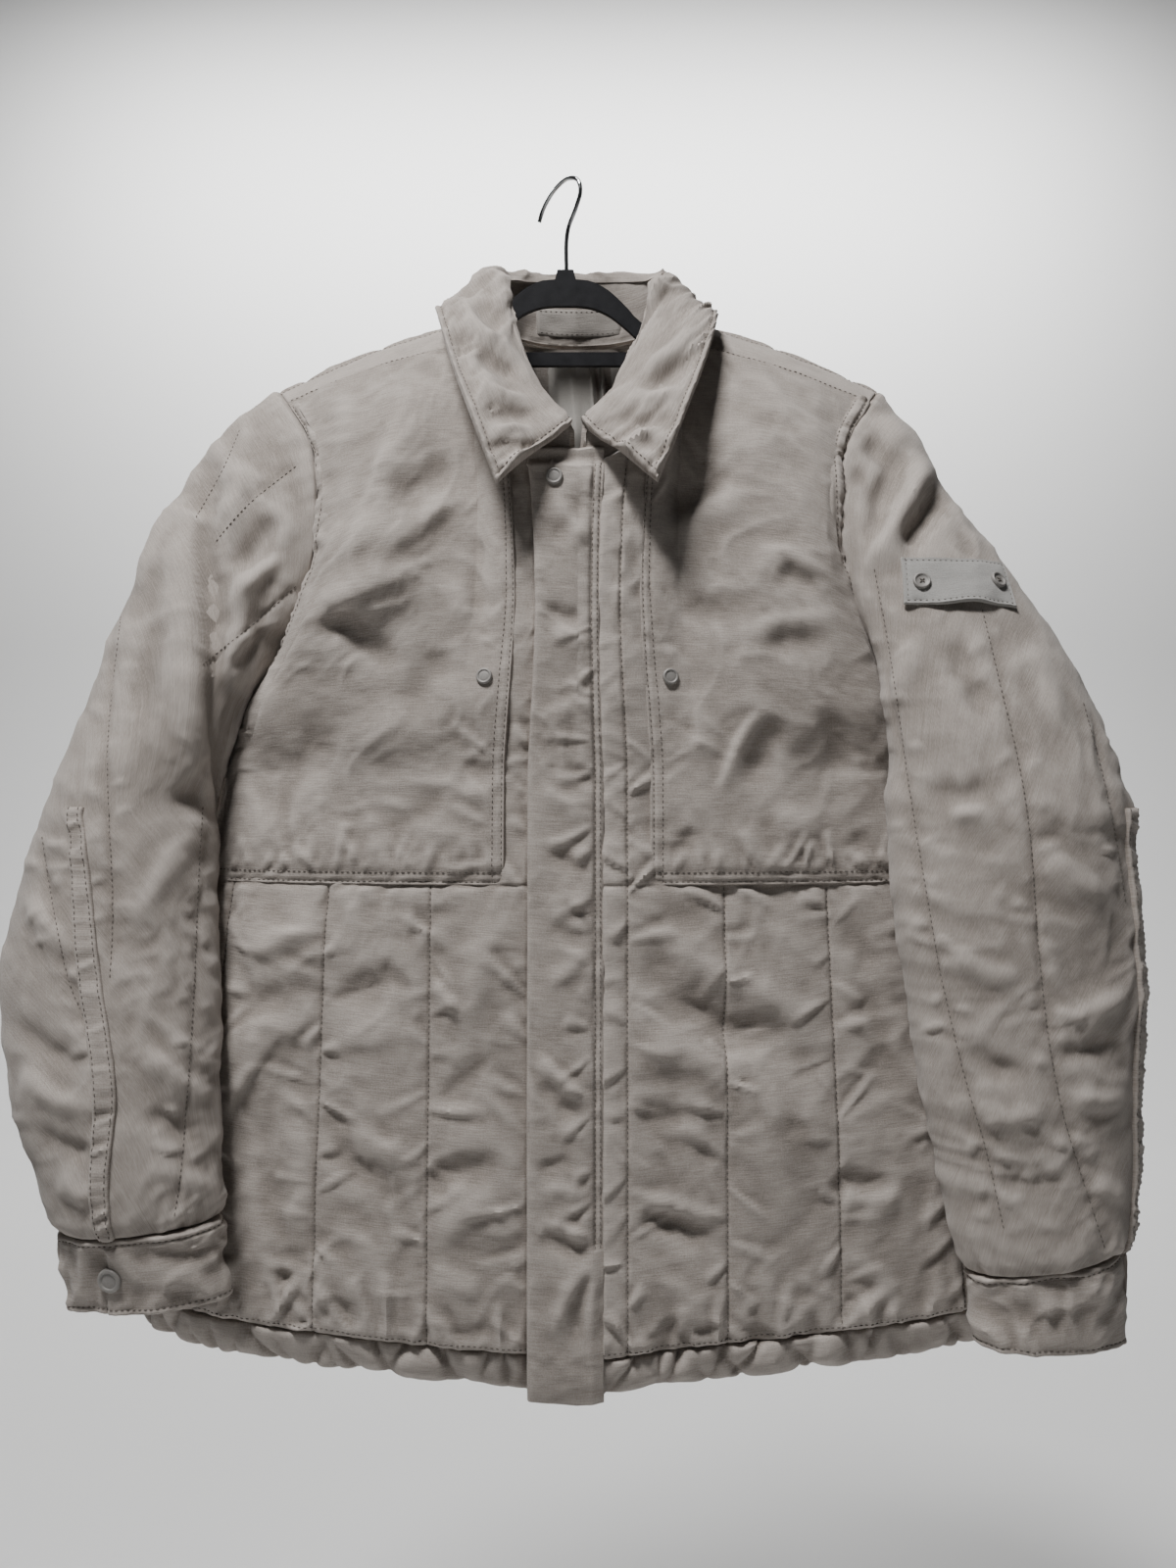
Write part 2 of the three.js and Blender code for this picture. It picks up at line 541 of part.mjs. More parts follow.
// Moves a sleeve's point forward until it hangs clear of the body's front.
function clearOfBody(point) {
  const z = Math.min(point[2], BODY[ROW.underarm].zSide);
  const above = Math.max(1, BODY.findIndex((row) => row.zSide >= z));
  const [low, high] = [BODY[above - 1], BODY[above]];
  const t = (z - low.zSide) / (high.zSide - low.zSide);
  const half = lerp(low.half, high.half, t) + BODY_CLEARANCE;
  const sideY = lerp(low.sideY, high.sideY, t);
  const across = Math.abs(point[0]) / half;
  if (point[2] > BODY[ROW.underarm].zSide + 14 || across >= 1) return point;
  const swell = (1 - across ** SECTION_POWER) ** (1 / SECTION_POWER);
  const front = lerp(sideY, lerp(low.frontY, high.frontY, t) - BODY_CLEARANCE, swell);
  return [point[0], Math.min(point[1], front), point[2]];
}

// Moves a sleeve's point forward until it hangs clear of the chest it lies over.
function clearOfChest(point, meshes, clearance) {
  const hits = meshes.map((mesh) => frontHit(mesh, point[0], point[2])).filter((hit) => hit);
  return hits.reduce((moved, hit) => (
    [moved[0], Math.min(moved[1], hit.point[1] - clearance), moved[2]]), point);
}

function sleeveBase(sleeve, chest) {
  const armhole = armholeRing(sleeve.side);
  const first = sleeveRing(sleeve.rings[0], sleeve.side);
  const loft = SLEEVE_LOFT.map((w, j) => armhole.map((point, k) => {
    if (j === 0) return point;
    const facing = radians(TIP_ANGLE + (k / RING_POINTS) * 360);
    const bulge = sleeve.bulge * Math.sin(Math.PI * w ** sleeve.bulgePower);
    const forward = SLEEVE_FORWARD * Math.sin(Math.PI * w);
    const swollen = add(mix(point, first[k], w), [
      sleeve.side * Math.max(Math.cos(facing), 0) * bulge,
      -Math.max(Math.sin(facing), 0) * forward,
      0,
    ]);
    const around = Math.max(0, 1 - Math.abs(k - FRONT_ROWS - 1) / 4);
    const stepOut = UNDERARM_STEP * around * Math.max(0, 1 - w / 0.6);
    const stepped = add(swollen, [sleeve.side, 0, 0], stepOut);
    const overChest = k > 1 && k < FRONT_ROWS + 3;
    return clearOfBody(overChest ? clearOfChest(stepped, chest, CHEST_CLEARANCE[Math.min(j, 2)]) : stepped);
  }));
  const spans = sleeve.rings.length - 1;
  const steps = spans * RING_STEPS;
  const lower = Array.from({ length: steps + 1 }, (_, index) => (
    sleeveRing(tableRow(sleeve.rings, (index / steps) * spans), sleeve.side).map(clearOfBody)));
  return [...loft, ...lower];
}

function tubeInward(base, side) {
  const centres = base.map((row) => row.reduce((sum, point) => add(sum, point, 1 / row.length), [0, 0, 0]));
  const byRow = new Map(base.map((row, j) => [row, centres[j]]));
  const owner = new Map();
  base.forEach((row) => row.forEach((point) => owner.set(point, byRow.get(row))));
  const outward = gridNormals(base, (point) => owner.get(point), true);
  return outward.map((row) => row.map((normal) => normal.map((value) => -value)));
}

// Both halves of a sleeve, split along its two seams, and the strip over one seam.
function sleevePieces(sleeve, label, chest) {
  const base = sleeveBase(sleeve, chest);
  const inward = tubeInward(base, sleeve.side);
  inward[0] = base[0].map((_, k) => armholeInward(base[0], k, sleeve.side));
  const last = base.length - 1;
  const outer = base.map((row, j) => row.map((point, k) => {
    const stitched = k % 3 === 0 ? 0 : 1;
    const fade = j === 0 || j === last ? 0 : Math.min(1, j / 3);
    return add(point, inward[j][k], -SLEEVE_PUFF * stitched * fade);
  }));
  const inner = base.map((row, j) => row.map((point, k) => add(point, inward[j][k], WALL)));
  const span = (grid, from) => grid.map((row) => (
    Array.from({ length: RING_POINTS / 2 + 1 }, (_, k) => row[(from + k) % RING_POINTS])));
  const half = (name, from) => sewnWall(
    name,
    span(outer, from),
    span(inner, from),
    span(inward, from),
    { ...ALL_SEAMS, bottom: 2 * SEAM_PULL },
    FABRIC,
  );
  const seam = sleeve.seamAt;
  const strip = (out) => base.slice(SLEEVE_LOFT.length).map((row, j) => {
    const at = j + SLEEVE_LOFT.length;
    const lift = (k) => add(row[(k + RING_POINTS) % RING_POINTS], inward[at][(k + RING_POINTS) % RING_POINTS], -out);
    const middle = lift(seam);
    return [
      add(middle, unit(minus(lift(seam - 1), middle)), STRIP_HALF),
      middle,
      add(middle, unit(minus(lift(seam + 1), middle)), STRIP_HALF),
    ];
  });
  return {
    outer,
    meshes: [
      half(`sleeve_${label}_top`, seam),
      half(`sleeve_${label}_under`, (seam + RING_POINTS / 2) % RING_POINTS),
      wallSolid(`sleeve_strip_${label}`, strip(sleeve.stripRise + STRIP_WALL), strip(sleeve.stripRise), FABRIC),
    ],
  };
}

function cuffPiece(sleeve, label) {
  const base = sleeve.cuff.map((row) => sleeveRing(row, sleeve.side));
  const inward = tubeInward(base, sleeve.side).map((row) => row.map((dir) => unit([dir[0], dir[1], 0])));
  const puff = [0, 1.5, 0];
  const outer = base.map((row, j) => row.map((point, k) => add(point, inward[j][k], -puff[j])));
  const inner = base.map((row, j) => row.map((point, k) => add(point, inward[j][k], CUFF_WALL)));
  return wallSolid(`cuff_${label}`, outer, inner, FABRIC, true);
}

// The neckline from the centre back round to the centre front, at the panels' own columns.
function necklinePoints(side) {
  const steps = Array.from({ length: NECK_COLUMN + 1 }, (_, i) => COLUMNS[i] / COLUMNS[NECK_COLUMN]);
  const back = steps.map((t) => through(BACK_NECKLINE, t));
  const front = [...steps].reverse().map((t) => through(FRONT_NECKLINE, t));
  return [...back, ...front].map((point) => mirrored(point, side));
}

const bothSides = (rowFor) => [...rowFor(-1).reverse(), ...rowFor(1).slice(1)];

function collarPieces() {
  const count = necklinePoints(1).length - 1;
  const along = (keys) => (side) => Array.from(
    { length: count + 1 },
    (_, k) => mirrored(through(keys, k / count), side),
  );
  const foot = bothSides(necklinePoints).map((point) => add(point, [0, 0, 1.2]));
  const fold = bothSides(along(COLLAR_FOLD));
  const edge = bothSides(along(COLLAR_EDGE));
  const towardsNeck = (point) => unit([-point[0], -18 - point[1], 0]);
  const inside = (row, depth) => row.map((point) => add(point, towardsNeck(point), depth));
  foot[0] = [-1, foot[0][1], foot[0][2]];
  foot[foot.length - 1] = [1, foot[0][1], foot[0][2]];
  const standOuter = [foot, foot.map((point, k) => mix(point, fold[k], 0.5)), fold];
  const stand = wallSolid(
    'collar_stand',
    standOuter,
    standOuter.map((row) => inside(row, COLLAR_WALL)),
    FABRIC,
  );
  const lift = (row, up) => row.map((point) => add(point, [0, 0, up]));
  const leafRow = (step) => fold.map((point, k) => {
    const rise = COLLAR_RISE * Math.sin(Math.PI * step ** 0.6);
    const outward = unit([point[0], point[1] + 18, 30]);
    return add(mix(point, edge[k], step), outward, rise);
  });
  const seat = 1.3;
  const under = [lift(inside(fold, COLLAR_WALL), seat), ...LEAF_STEPS.map((step) => lift(leafRow(step), seat))];
  const normals = gridNormals(under, (point) => [point[0] * 0.7, point[1] * 0.6, point[2] - 60]);
  const over = under.map((row, j) => row.map((point, k) => (
    j < 2 ? add(point, [0, 0, COLLAR_WALL]) : add(point, normals[j][k], COLLAR_WALL))));
  return { stand: standOuter, meshes: [stand, wallSolid('collar_leaf', over, under, FABRIC)] };
}

// The gathered lining seen through the neck, and a bare label on the collar's inside.
function liningPieces(back, collarStand) {
  const centre = COLUMNS.length - 1;
  const reach = COLUMNS.indexOf(101);
  const rows = back.inner.slice(UNDERARM_ROW + 4, -1);
  const inward = back.inward.slice(UNDERARM_ROW + 4, -1);
  const layer = (depth, gather) => rows.map((row, j) => {
    const cells = [];
    for (let i = centre - reach; i < centre + reach; i += 1) {
      for (let half = 0; half < 2; half += 1) {
        const wave = gather * (half ? 1 : 0);
        const point = mix(row[i], row[i + 1], half / 2);
        cells.push(add(point, mix(inward[j][i], inward[j][i + 1], half / 2), depth + wave));
      }
    }
    cells.push(add(row[centre + reach], inward[j][centre + reach], depth));
    return cells;
  });
  const lining = wallSolid('back_lining', layer(3, 3), layer(0.6, 0), LINING);
  const middle = (collarStand[0].length - 1) / 2;
  const label = (depth) => [0.15, 0.55].map((rise) => [-2, -1, 0, 1, 2].map((k) => {
    const low = collarStand[0][middle + k];
    const high = collarStand[2][middle + k];
    const point = mix(low, high, rise);
    const inwards = unit([-point[0], -18 - point[1], 0]);
    const at = add(point, inwards, COLLAR_WALL + depth);
    return at;
  }));
  return [lining, wallSolid('neck_label', label(1.4), label(0.4), DARK_FABRIC)];
}

// Where a line along +Y first meets a mesh, and which way the cloth faces there.
function frontHit(mesh, x, z, direction = 1) {
  mesh.updateMatrixWorld(true);
  const ray = new THREE.Raycaster(
    new THREE.Vector3(x, -400 * direction, z),
    new THREE.Vector3(0, direction, 0),
  );
  const hit = ray.intersectObject(mesh)[0];
  return hit && { point: hit.point.toArray(), normal: hit.face.normal.toArray() };
}

// A round snap or button: a low cylinder seated on the cloth.
function snapPiece(name, mesh, x, z, radius, height, direction = 1, lift = 0.9) {
  const { point, normal } = frontHit(mesh, x, z, direction);
  const geometry = new THREE.CylinderGeometry(radius * 0.86, radius, height, 16);
  const piece = new THREE.Mesh(geometry, new THREE.MeshStandardMaterial(SNAP));
  piece.name = name;
  piece.quaternion.setFromUnitVectors(new THREE.Vector3(0, 1, 0), new THREE.Vector3(...normal));
  piece.position.set(...add(point, normal, lift + height / 2));
  return piece;
}

// A bare cloth tab on the left sleeve, held by two buttons.
function sleeveTab(sleeveMesh) {
  const columns = Array.from({ length: 10 }, (_, i) => lerp(TAB.from, TAB.to, i / 9));
  const rows = Array.from({ length: 5 }, (_, j) => lerp(TAB.bottom, TAB.top, j / 4));
  const layer = (out) => rows.map((z) => columns.map((x) => {
    const { point } = frontHit(sleeveMesh, x, z);
    return add(point, unit([(x - 262) / 90, -1, 0.15]), out);
  }));
  return wallSolid('sleeve_tab', layer(TAB.lift + TAB.wall), layer(TAB.lift), DARK_FABRIC);
}

// The flat hanger, with a bar across under its arms, and its wire hook.
function hangerPieces() {
  const steps = 20;
  const arm = Array.from({ length: steps + 1 }, (_, k) => tableRow(HANGER_ARM, (k / steps) * (HANGER_ARM.length - 1)));
  const lower = arm.map((row) => [row.x, row.top - row.band]);
  const open = lower.filter(([, z]) => z > HANGER_BAR.top + 1);
  const outer = lower.filter(([, z]) => z < HANGER_BAR.bottom);
  const half = [
    [HANGER_NECK.half, HANGER_NECK.top],
    ...arm.map((row) => [row.x, row.top]),
    ...[...outer].reverse(),
    [outer[0][0] - 6, HANGER_BAR.bottom],
  ];
  const bothWays = (points) => [...points, ...[...points].reverse().map(([x, z]) => [-x, z])];
  const toShape = (points, Kind) => new Kind(points.map(([x, z]) => new THREE.Vector2(x, z)));
  const shape = toShape(bothWays(half), THREE.Shape);
  const hole = bothWays([...open, [open.at(-1)[0] + 5, HANGER_BAR.top]]).reverse();
  shape.holes.push(toShape(hole, THREE.Path));
  const plate = new THREE.ExtrudeGeometry(shape, { depth: HANGER_THICK, bevelEnabled: false, steps: 1 });
  plate.translate(0, 0, -HANGER_THICK / 2);
  plate.rotateX(Math.PI / 2);
  const hanger = new THREE.Mesh(plate, new THREE.MeshStandardMaterial(PLASTIC));
  hanger.name = 'hanger';
  const turn = radians(HOOK_TURN);
  const path = new THREE.CatmullRomCurve3(HOOK_PATH.map(([u, z]) => (
    new THREE.Vector3(u * Math.cos(turn), -u * Math.sin(turn), z))));
  const section = new THREE.Shape();
  section.absarc(0, 0, WIRE_RADIUS, 0, 2 * Math.PI, false);
  const wire = new THREE.Mesh(
    new THREE.ExtrudeGeometry(section, { steps: 36, extrudePath: path, curveSegments: 8, bevelEnabled: false }),
    new THREE.MeshStandardMaterial(CHROME),
  );
  wire.name = 'hanger_hook';
  return [hanger, wire];
}

function jacket() {
  const garment = new THREE.Group();
  const fronts = { right: frontPieces(-1, 'right'), left: frontPieces(1, 'left') };
  const back = backPiece();
  const collar = collarPieces();
  const sleeves = {
    right: sleevePieces(SLEEVES.right, 'right', fronts.right.meshes),
    left: sleevePieces(SLEEVES.left, 'left', fronts.left.meshes),
  };
  const cuffs = { right: cuffPiece(SLEEVES.right, 'right'), left: cuffPiece(SLEEVES.left, 'left') };
  const fly = flyPiece(fronts.right.panel, fronts.left.panel);
  garment.add(...fronts.right.meshes, ...fronts.left.meshes, back.mesh, fly);
  garment.add(shoulderStrip(-1, 'right'), shoulderStrip(1, 'left'));
  garment.add(...collar.meshes, ...liningPieces(back, collar.stand));
  garment.add(hemBand('hem_front_right', 'front', -CHEST_HALF, 0));
  garment.add(hemBand('hem_front_left', 'front', 0, CHEST_HALF));
  garment.add(hemBand('hem_back', 'back', -CHEST_HALF, CHEST_HALF));
  garment.add(...sleeves.right.meshes, ...sleeves.left.meshes, cuffs.right, cuffs.left);
  const tab = sleeveTab(sleeves.left.meshes[0]);
  garment.add(tab);
  garment.add(
    snapPiece('snap_neck', fly, -16, -248, 6, 2.4),
    snapPiece('snap_chest_right', fronts.right.meshes[1], -64, -386, 5.5, 2.2),
    snapPiece('snap_chest_left', fronts.left.meshes[1], 64, -386, 5.5, 2.2),
    snapPiece('snap_cuff_right', cuffs.right, -305, -784, 8, 2.6),
    snapPiece('snap_cuff_left', cuffs.left, 325, -812, 8, 2.6, -1),
    snapPiece('tab_button_inner', tab, 236, -321, 5.5, 2.2),
    snapPiece('tab_button_outer', tab, 291, -319, 5.5, 2.2),
  );
  garment.position.x = JACKET_SHIFT;
  return garment;
}

const root = new THREE.Group();
root.add(jacket(), ...hangerPieces());

export default root;
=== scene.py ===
"""The looks of a quilted canvas overshirt on a slim hanger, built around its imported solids.

Lengths are in millimetres in the jacket's own frame until a mesh is made: +Z is up, the front
faces -Y, +X is the wearer's left. Folds and stitch lines are placed where the camera sees them,
in a picture of 1200 x 1600. Each piece of cloth is a Sheet: a fine grid on the same surface as
its solid, with a height over each point that folds, quilting, puckers and rims add to.
"""

import bpy
import numpy as np
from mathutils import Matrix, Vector
from mathutils.bvhtree import BVHTree


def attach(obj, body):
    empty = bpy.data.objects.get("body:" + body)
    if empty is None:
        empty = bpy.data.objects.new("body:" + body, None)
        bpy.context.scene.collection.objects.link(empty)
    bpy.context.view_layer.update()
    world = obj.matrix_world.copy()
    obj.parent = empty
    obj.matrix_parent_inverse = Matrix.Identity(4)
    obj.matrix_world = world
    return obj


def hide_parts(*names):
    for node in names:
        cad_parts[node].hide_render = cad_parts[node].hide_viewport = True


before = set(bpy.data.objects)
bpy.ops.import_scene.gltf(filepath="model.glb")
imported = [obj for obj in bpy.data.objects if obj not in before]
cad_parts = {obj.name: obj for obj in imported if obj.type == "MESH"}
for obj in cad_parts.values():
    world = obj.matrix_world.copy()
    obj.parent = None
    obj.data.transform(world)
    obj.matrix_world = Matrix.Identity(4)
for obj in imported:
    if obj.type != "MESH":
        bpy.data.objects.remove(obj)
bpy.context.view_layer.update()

SHIFT = np.array([10.0, 0.0, 0.0])  # the jacket hangs a little to one side of the hook
EYE = np.array([7.2, -900.0, -460.0])  # the camera, in the jacket's frame
FOCAL = 1202.0  # in picture units
PICTURE = (1200, 1600)
MIDDLE_X, MIDDLE_Y = PICTURE[0] / 2, PICTURE[1] / 2
PX = 0.67  # millimetres of cloth to a picture unit, on the front
FULL = 1.15  # how much deeper than listed the folds are made
RING = 18  # steps round a sleeve
REAR_QUILTS = (11.0, 13.5, 16.0)  # those steps that carry a quilt line behind
ARMHOLE_BAND = 11.5  # wide
ARMHOLE_INSETS = (2.2, 9.8)  # from an edge to its rows of stitches, here and below
PANEL_INSETS = (2.2, 8.5)
SEAM_INSET, CUFF_INSET, LEAF_INSET, SHOULDER_INSET = 4.5, 4.0, 4.6, 2.6
STRIP_INSET, LABEL_INSET, TAB_INSET = 2.2, 2.0, 2.5
FLY_FROM, FLY_SEAM, FLY_TO, FLY_TOP = -34.0, 12.0, 18.0, -239.0  # x at its edges and its seam, and z
QUILTED_UP_TO, FLY_TUCKED_UP_TO = 430, 540  # over the hem's edge and the fly's foot
UP = np.pi / 2
FLY_STITCHED_FROM = -774.0  # it hangs loose below this height
WALL = 4.4  # from a padded piece's outer face to its inner one

# The body's surfaces.
BODY = np.array([  # z at side, front and back, half width, y at side, front and back
    [-857, -882, -912, 322, -30, -96, 34],
    [-828, -852, -882, 321, -29, -99, 36],
    [-740, -752, -765, 312, -27, -100, 38],
    [-630, -636, -640, 297, -24, -98, 39],
    [-528, -528, -530, 280, -19, -93, 40],
    [-452, -450, -452, 262, -12, -88, 41],
], float)
CHEST = 280.0  # half the width round which a row of the body is laid out
SIDES = {"right": -1, "left": 1}  # the wearer's, and the sign of x
QUILT = [34.0, 101.0, 173.0, 245.0]  # the quilt lines, in millimetres of the chest's width
SIDE_SEAM = 285.0
FRONT_ARMHOLE = [
    [262, -12, -452], [240, -38, -410], [211, -52, -362], [192, -57, -308],
    [187, -54, -260], [194, -44, -214], [216, -24, -177],
]
BACK_ARMHOLE = [
    [262, -12, -452], [249, 12, -415], [233, 27, -370], [223, 34, -310],
    [220, 34, -250], [223, 24, -200], [228, 0, -161],
]
FRONT_NECKLINE = [[0, -82, -238], [22, -80, -233], [44, -73, -217], [66, -56, -188], [86, -26, -134]]
BACK_NECKLINE = [[0, 34, -117], [22, 33, -116.5], [44, 29, -114], [66, 19, -110], [84, 2, -106]]
FRONT_CENTRE = [[0, -88, -450], [0, -87, -380], [0, -85, -310], [0, -82, -238]]
BACK_CENTRE = [[0, 41, -452], [0, 43, -380], [0, 44, -310], [0, 43, -240], [0, 40, -175], [0, 34, -117]]
SHOULDER_RIDGE = [[84, 2, -106], [158, 1, -130], [228, 0, -161]]
SHOULDER_SEAM = [[86, -26, -134], [152, -28, -153], [216, -24, -177]]
NECK = 84 / CHEST
CHEST_SEAM = 3.98  # in the rows of BODY, as v below
UNDERARM = -464.0  # where the sleeve's foot is sewn lowest
BROAD_FOLDS = [  # from x z, to x z, half width, height
    (-205, -352, -130, -318, 22, 7), (-196, -300, -120, -285, 18, 4),
    (-150, -320, -115, -190, 26, 5), (-120, -430, -70, -400, 24, 4),
    (90, -300, 150, -420, 26, 5), (180, -300, 120, -200, 24, 5),
    (-240, -660, -190, -580, 22, 5), (60, -640, 150, -700, 24, 5),
]


def cubic(a, b, c, d, t):
    """The curve from b to c, with slopes from their neighbours a and d."""
    slope_in, slope_out, rise = (c - a) / 2, (d - b) / 2, c - b
    bend = 3 * rise - 2 * slope_in - slope_out
    return b + t * (slope_in + t * (bend + t * (slope_in + slope_out - 2 * rise)))


def catmull(points, t):
    """A smooth curve through points or rows of numbers, at t from 0 at the first to 1 at the last."""
    points = np.asarray(points, float)
    spans = len(points) - 1
    place = np.clip(np.asarray(t, float), 0, 1) * spans
    span = np.minimum(place.astype(int), spans - 1)
    local = (place - span)[..., None]
    a, b, c, d = (points[np.clip(span + k, 0, spans)] for k in (-1, 0, 1, 2))
    return cubic(a, b, c, d, local)


def lerp(a, b, t):
    return a + (b - a) * t


def smooth(t):
    t = np.clip(t, 0, 1)
    return t * t * (3 - 2 * t)


def unit(v):
    return v / (np.linalg.norm(v, axis=-1, keepdims=True) + 1e-12)


def lengths(points):
    """How far along a run each of its points is."""
    return np.concatenate([[0], np.cumsum(np.linalg.norm(np.diff(points, axis=0), axis=1))])


def sign_of(f):
    """The side of the body that a place across it is on."""
    return np.where(f < 0, -1.0, 1.0)


def flipped(points, side):
    """Points of the wearer's left on the side given, -1 or 1: one for all of them or one for each."""
    side = np.asarray(side, float)
    return points * np.stack([side, np.ones_like(side), np.ones_like(side)], -1)


def body_point(place, f, face):
    """A point of the trunk, at a row of BODY and a share of the way from the centre to the side."""
    place, f = np.broadcast_arrays(np.asarray(place, float), np.asarray(f, float))
    row = catmull(BODY, place / 5)
    half = row[..., 3]
    x = CHEST * f + (half - CHEST) * f**3
    across = np.minimum(x / half, 1)
    swell = np.maximum(1 - across**2.3, 0) ** (1 / 2.3)
    side = 5 if face == "front" else 6
    level = 1 if face == "front" else 2
    return np.stack([
        x,
        lerp(row[..., 4], row[..., side], swell),
        lerp(row[..., level], row[..., 0], across),
    ], -1)


def upper_point(f, rise, face):
    """A point of the yoke, between the trunk, the armhole, the shoulder and the neckline."""
    f, rise = np.broadcast_arrays(np.asarray(f, float), np.asarray(rise, float))
    front = face == "front"
    seam = SHOULDER_SEAM if front else SHOULDER_RIDGE
    neckline = FRONT_NECKLINE if front else BACK_NECKLINE

    def top_at(g):
        g = np.asarray(g, float)
        neck, shoulder = catmull(neckline, g / NECK), catmull(seam, (g - NECK) / (1 - NECK))
        return np.where((g <= NECK)[..., None], neck, shoulder)

    foot = body_point(5, f, face)
    corner, centre_foot = body_point(5, 1, face), body_point(5, 0, face)
    side_edge = catmull(FRONT_ARMHOLE if front else BACK_ARMHOLE, rise)
    centre_edge = catmull(FRONT_CENTRE if front else BACK_CENTRE, rise)
    fx, rx = f[..., None], rise[..., None]
    point = lerp(foot, top_at(f), rx) + lerp(centre_edge, side_edge, fx) - lerp(
        lerp(centre_foot, corner, fx), lerp(top_at(0), top_at(1), fx), rx)
    if not front:
        under = np.minimum((1 - rise) / 0.3, 1)
        point[..., 1] += 36 * under * (1 - under) * np.minimum(1, 2 * f) * (f < 1)
    return point


def panel_point(v, f, face, side=1):
    """A point of the body at v from 0 at the hem's edge, 5 at the underarm, to 6 at the shoulder."""
    v, f = np.broadcast_arrays(np.asarray(v, float), np.asarray(f, float))
    low = body_point(np.minimum(v, 5), f, face)
    high = upper_point(f, np.clip(v - 5, 0, 1), face)
    point = np.where((v > 5)[..., None], high, low)
    point = flipped(point, side)
    if face == "front":
        width = f * CHEST
        fade = np.minimum(1, (CHEST - width) / 30) * np.minimum(1, width / 40)
        point[..., 1] -= broad_folds(point[..., 0], point[..., 2]) * fade
    return point


def broad_folds(x, z):
    """How far the solids' own large folds stand out."""
    total = np.zeros_like(x)
    for x0, z0, x1, z1, half, height in BROAD_FOLDS:
        along = np.array([x1 - x0, z1 - z0])
        place = np.clip(((x - x0) * along[0] + (z - z0) * along[1]) / (along @ along), 0, 1)
        off = np.hypot(x - x0 - along[0] * place, z - z0 - along[1] * place)
        total += height * np.exp(-((off / half) ** 2))
    return total


def spread(start, end, coarse, spots=(), fine=0.6, reach=3.0):
    """Places from start to end, coarse apart, and finer near each spot and both ends."""
    probe = np.linspace(start, end, 4000)
    marks = np.array([start, end, *spots])
    gap = np.abs(probe[:, None] - marks).min(1)
    density = 1 / lerp(fine, coarse, smooth(gap / (3 * reach)))
    run = np.concatenate([[0], np.cumsum((density[1:] + density[:-1]) / 2 * np.diff(probe))])
    count = int(np.ceil(run[-1]))
    return np.interp(np.linspace(0, run[-1], count + 1), run, probe)


# Noise.
def noise1(x, seed):
    """Smooth noise from -1 to 1 along a line."""
    values = np.random.RandomState(seed).uniform(-1, 1, 4096)
    cell = np.floor(x).astype(int)
    return lerp(values[cell % 4096], values[(cell + 1) % 4096], smooth(x - cell))


def noise2(x, y, seed):
    """Smooth noise from -1 to 1 over a plane."""
    values = np.random.RandomState(seed).uniform(-1, 1, (256, 256))
    i, j = np.floor(x).astype(int), np.floor(y).astype(int)
    s, t = smooth(x - i), smooth(y - j)

    def at(a, b):
        return values[a % 256, b % 256]

    return lerp(lerp(at(i, j), at(i + 1, j), s), lerp(at(i, j + 1), at(i + 1, j + 1), s), t)


# Materials.
TURN = 6283  # two pi, with the cloth's own places in metres and the pitches in millimetres
WARP_PITCH, WEFT_PITCH = 1.05, 0.95


class Graph:
    """A material's nodes, added one by one."""

    def __init__(self, name):
        self.material = bpy.data.materials.new(name)
        self.material.use_nodes = True
        self.tree = self.material.node_tree
        self.shader = self.tree.nodes["Principled BSDF"]

    def add(self, kind, settings=None, **inputs):
        node = self.tree.nodes.new(kind)
        for key, value in (settings or {}).items():
            setattr(node, key, value)
        for key, value in inputs.items():
            self.put(node.inputs[key], value)
        return node

    def paint(self, **inputs):
        """Sets the shader's inputs, which are named with _ for a space."""
        for key, value in inputs.items():
            self.put(self.shader.inputs[key.replace("_", " ")], value)

    def put(self, socket, value):
        if isinstance(value, bpy.types.NodeSocket):
            self.tree.links.new(value, socket)
        else:
            socket.default_value = value

    def math(self, operation, *values):
        node = self.add("ShaderNodeMath", {"operation": operation})
        for socket, value in zip(node.inputs, values):
            self.put(socket, value)
        return node.outputs[0]

    def noise(self, vector, scale, detail=2.0, roughness=0.5):
        mapped = self.add("ShaderNodeMapping", Vector=vector, Scale=scale).outputs[0]
        return self.add("ShaderNodeTexNoise", Vector=mapped, Scale=1.0, Detail=detail,
                        Roughness=roughness).outputs[0]

    def ramp(self, factor, stops):
        node = self.add("ShaderNodeValToRGB", Fac=factor)
        elements = node.color_ramp.elements
        while len(elements) < len(stops):
            elements.new(0.5)
        for element, (place, colour) in zip(elements, stops):
            element.position = place
            element.color = (*colour, 1)
        return node.outputs[0]

    def weighted(self, terms, base=0.0):
        total = base
        for value, weight in terms:
            total = self.math("MULTIPLY_ADD", value, weight, total)
        return total


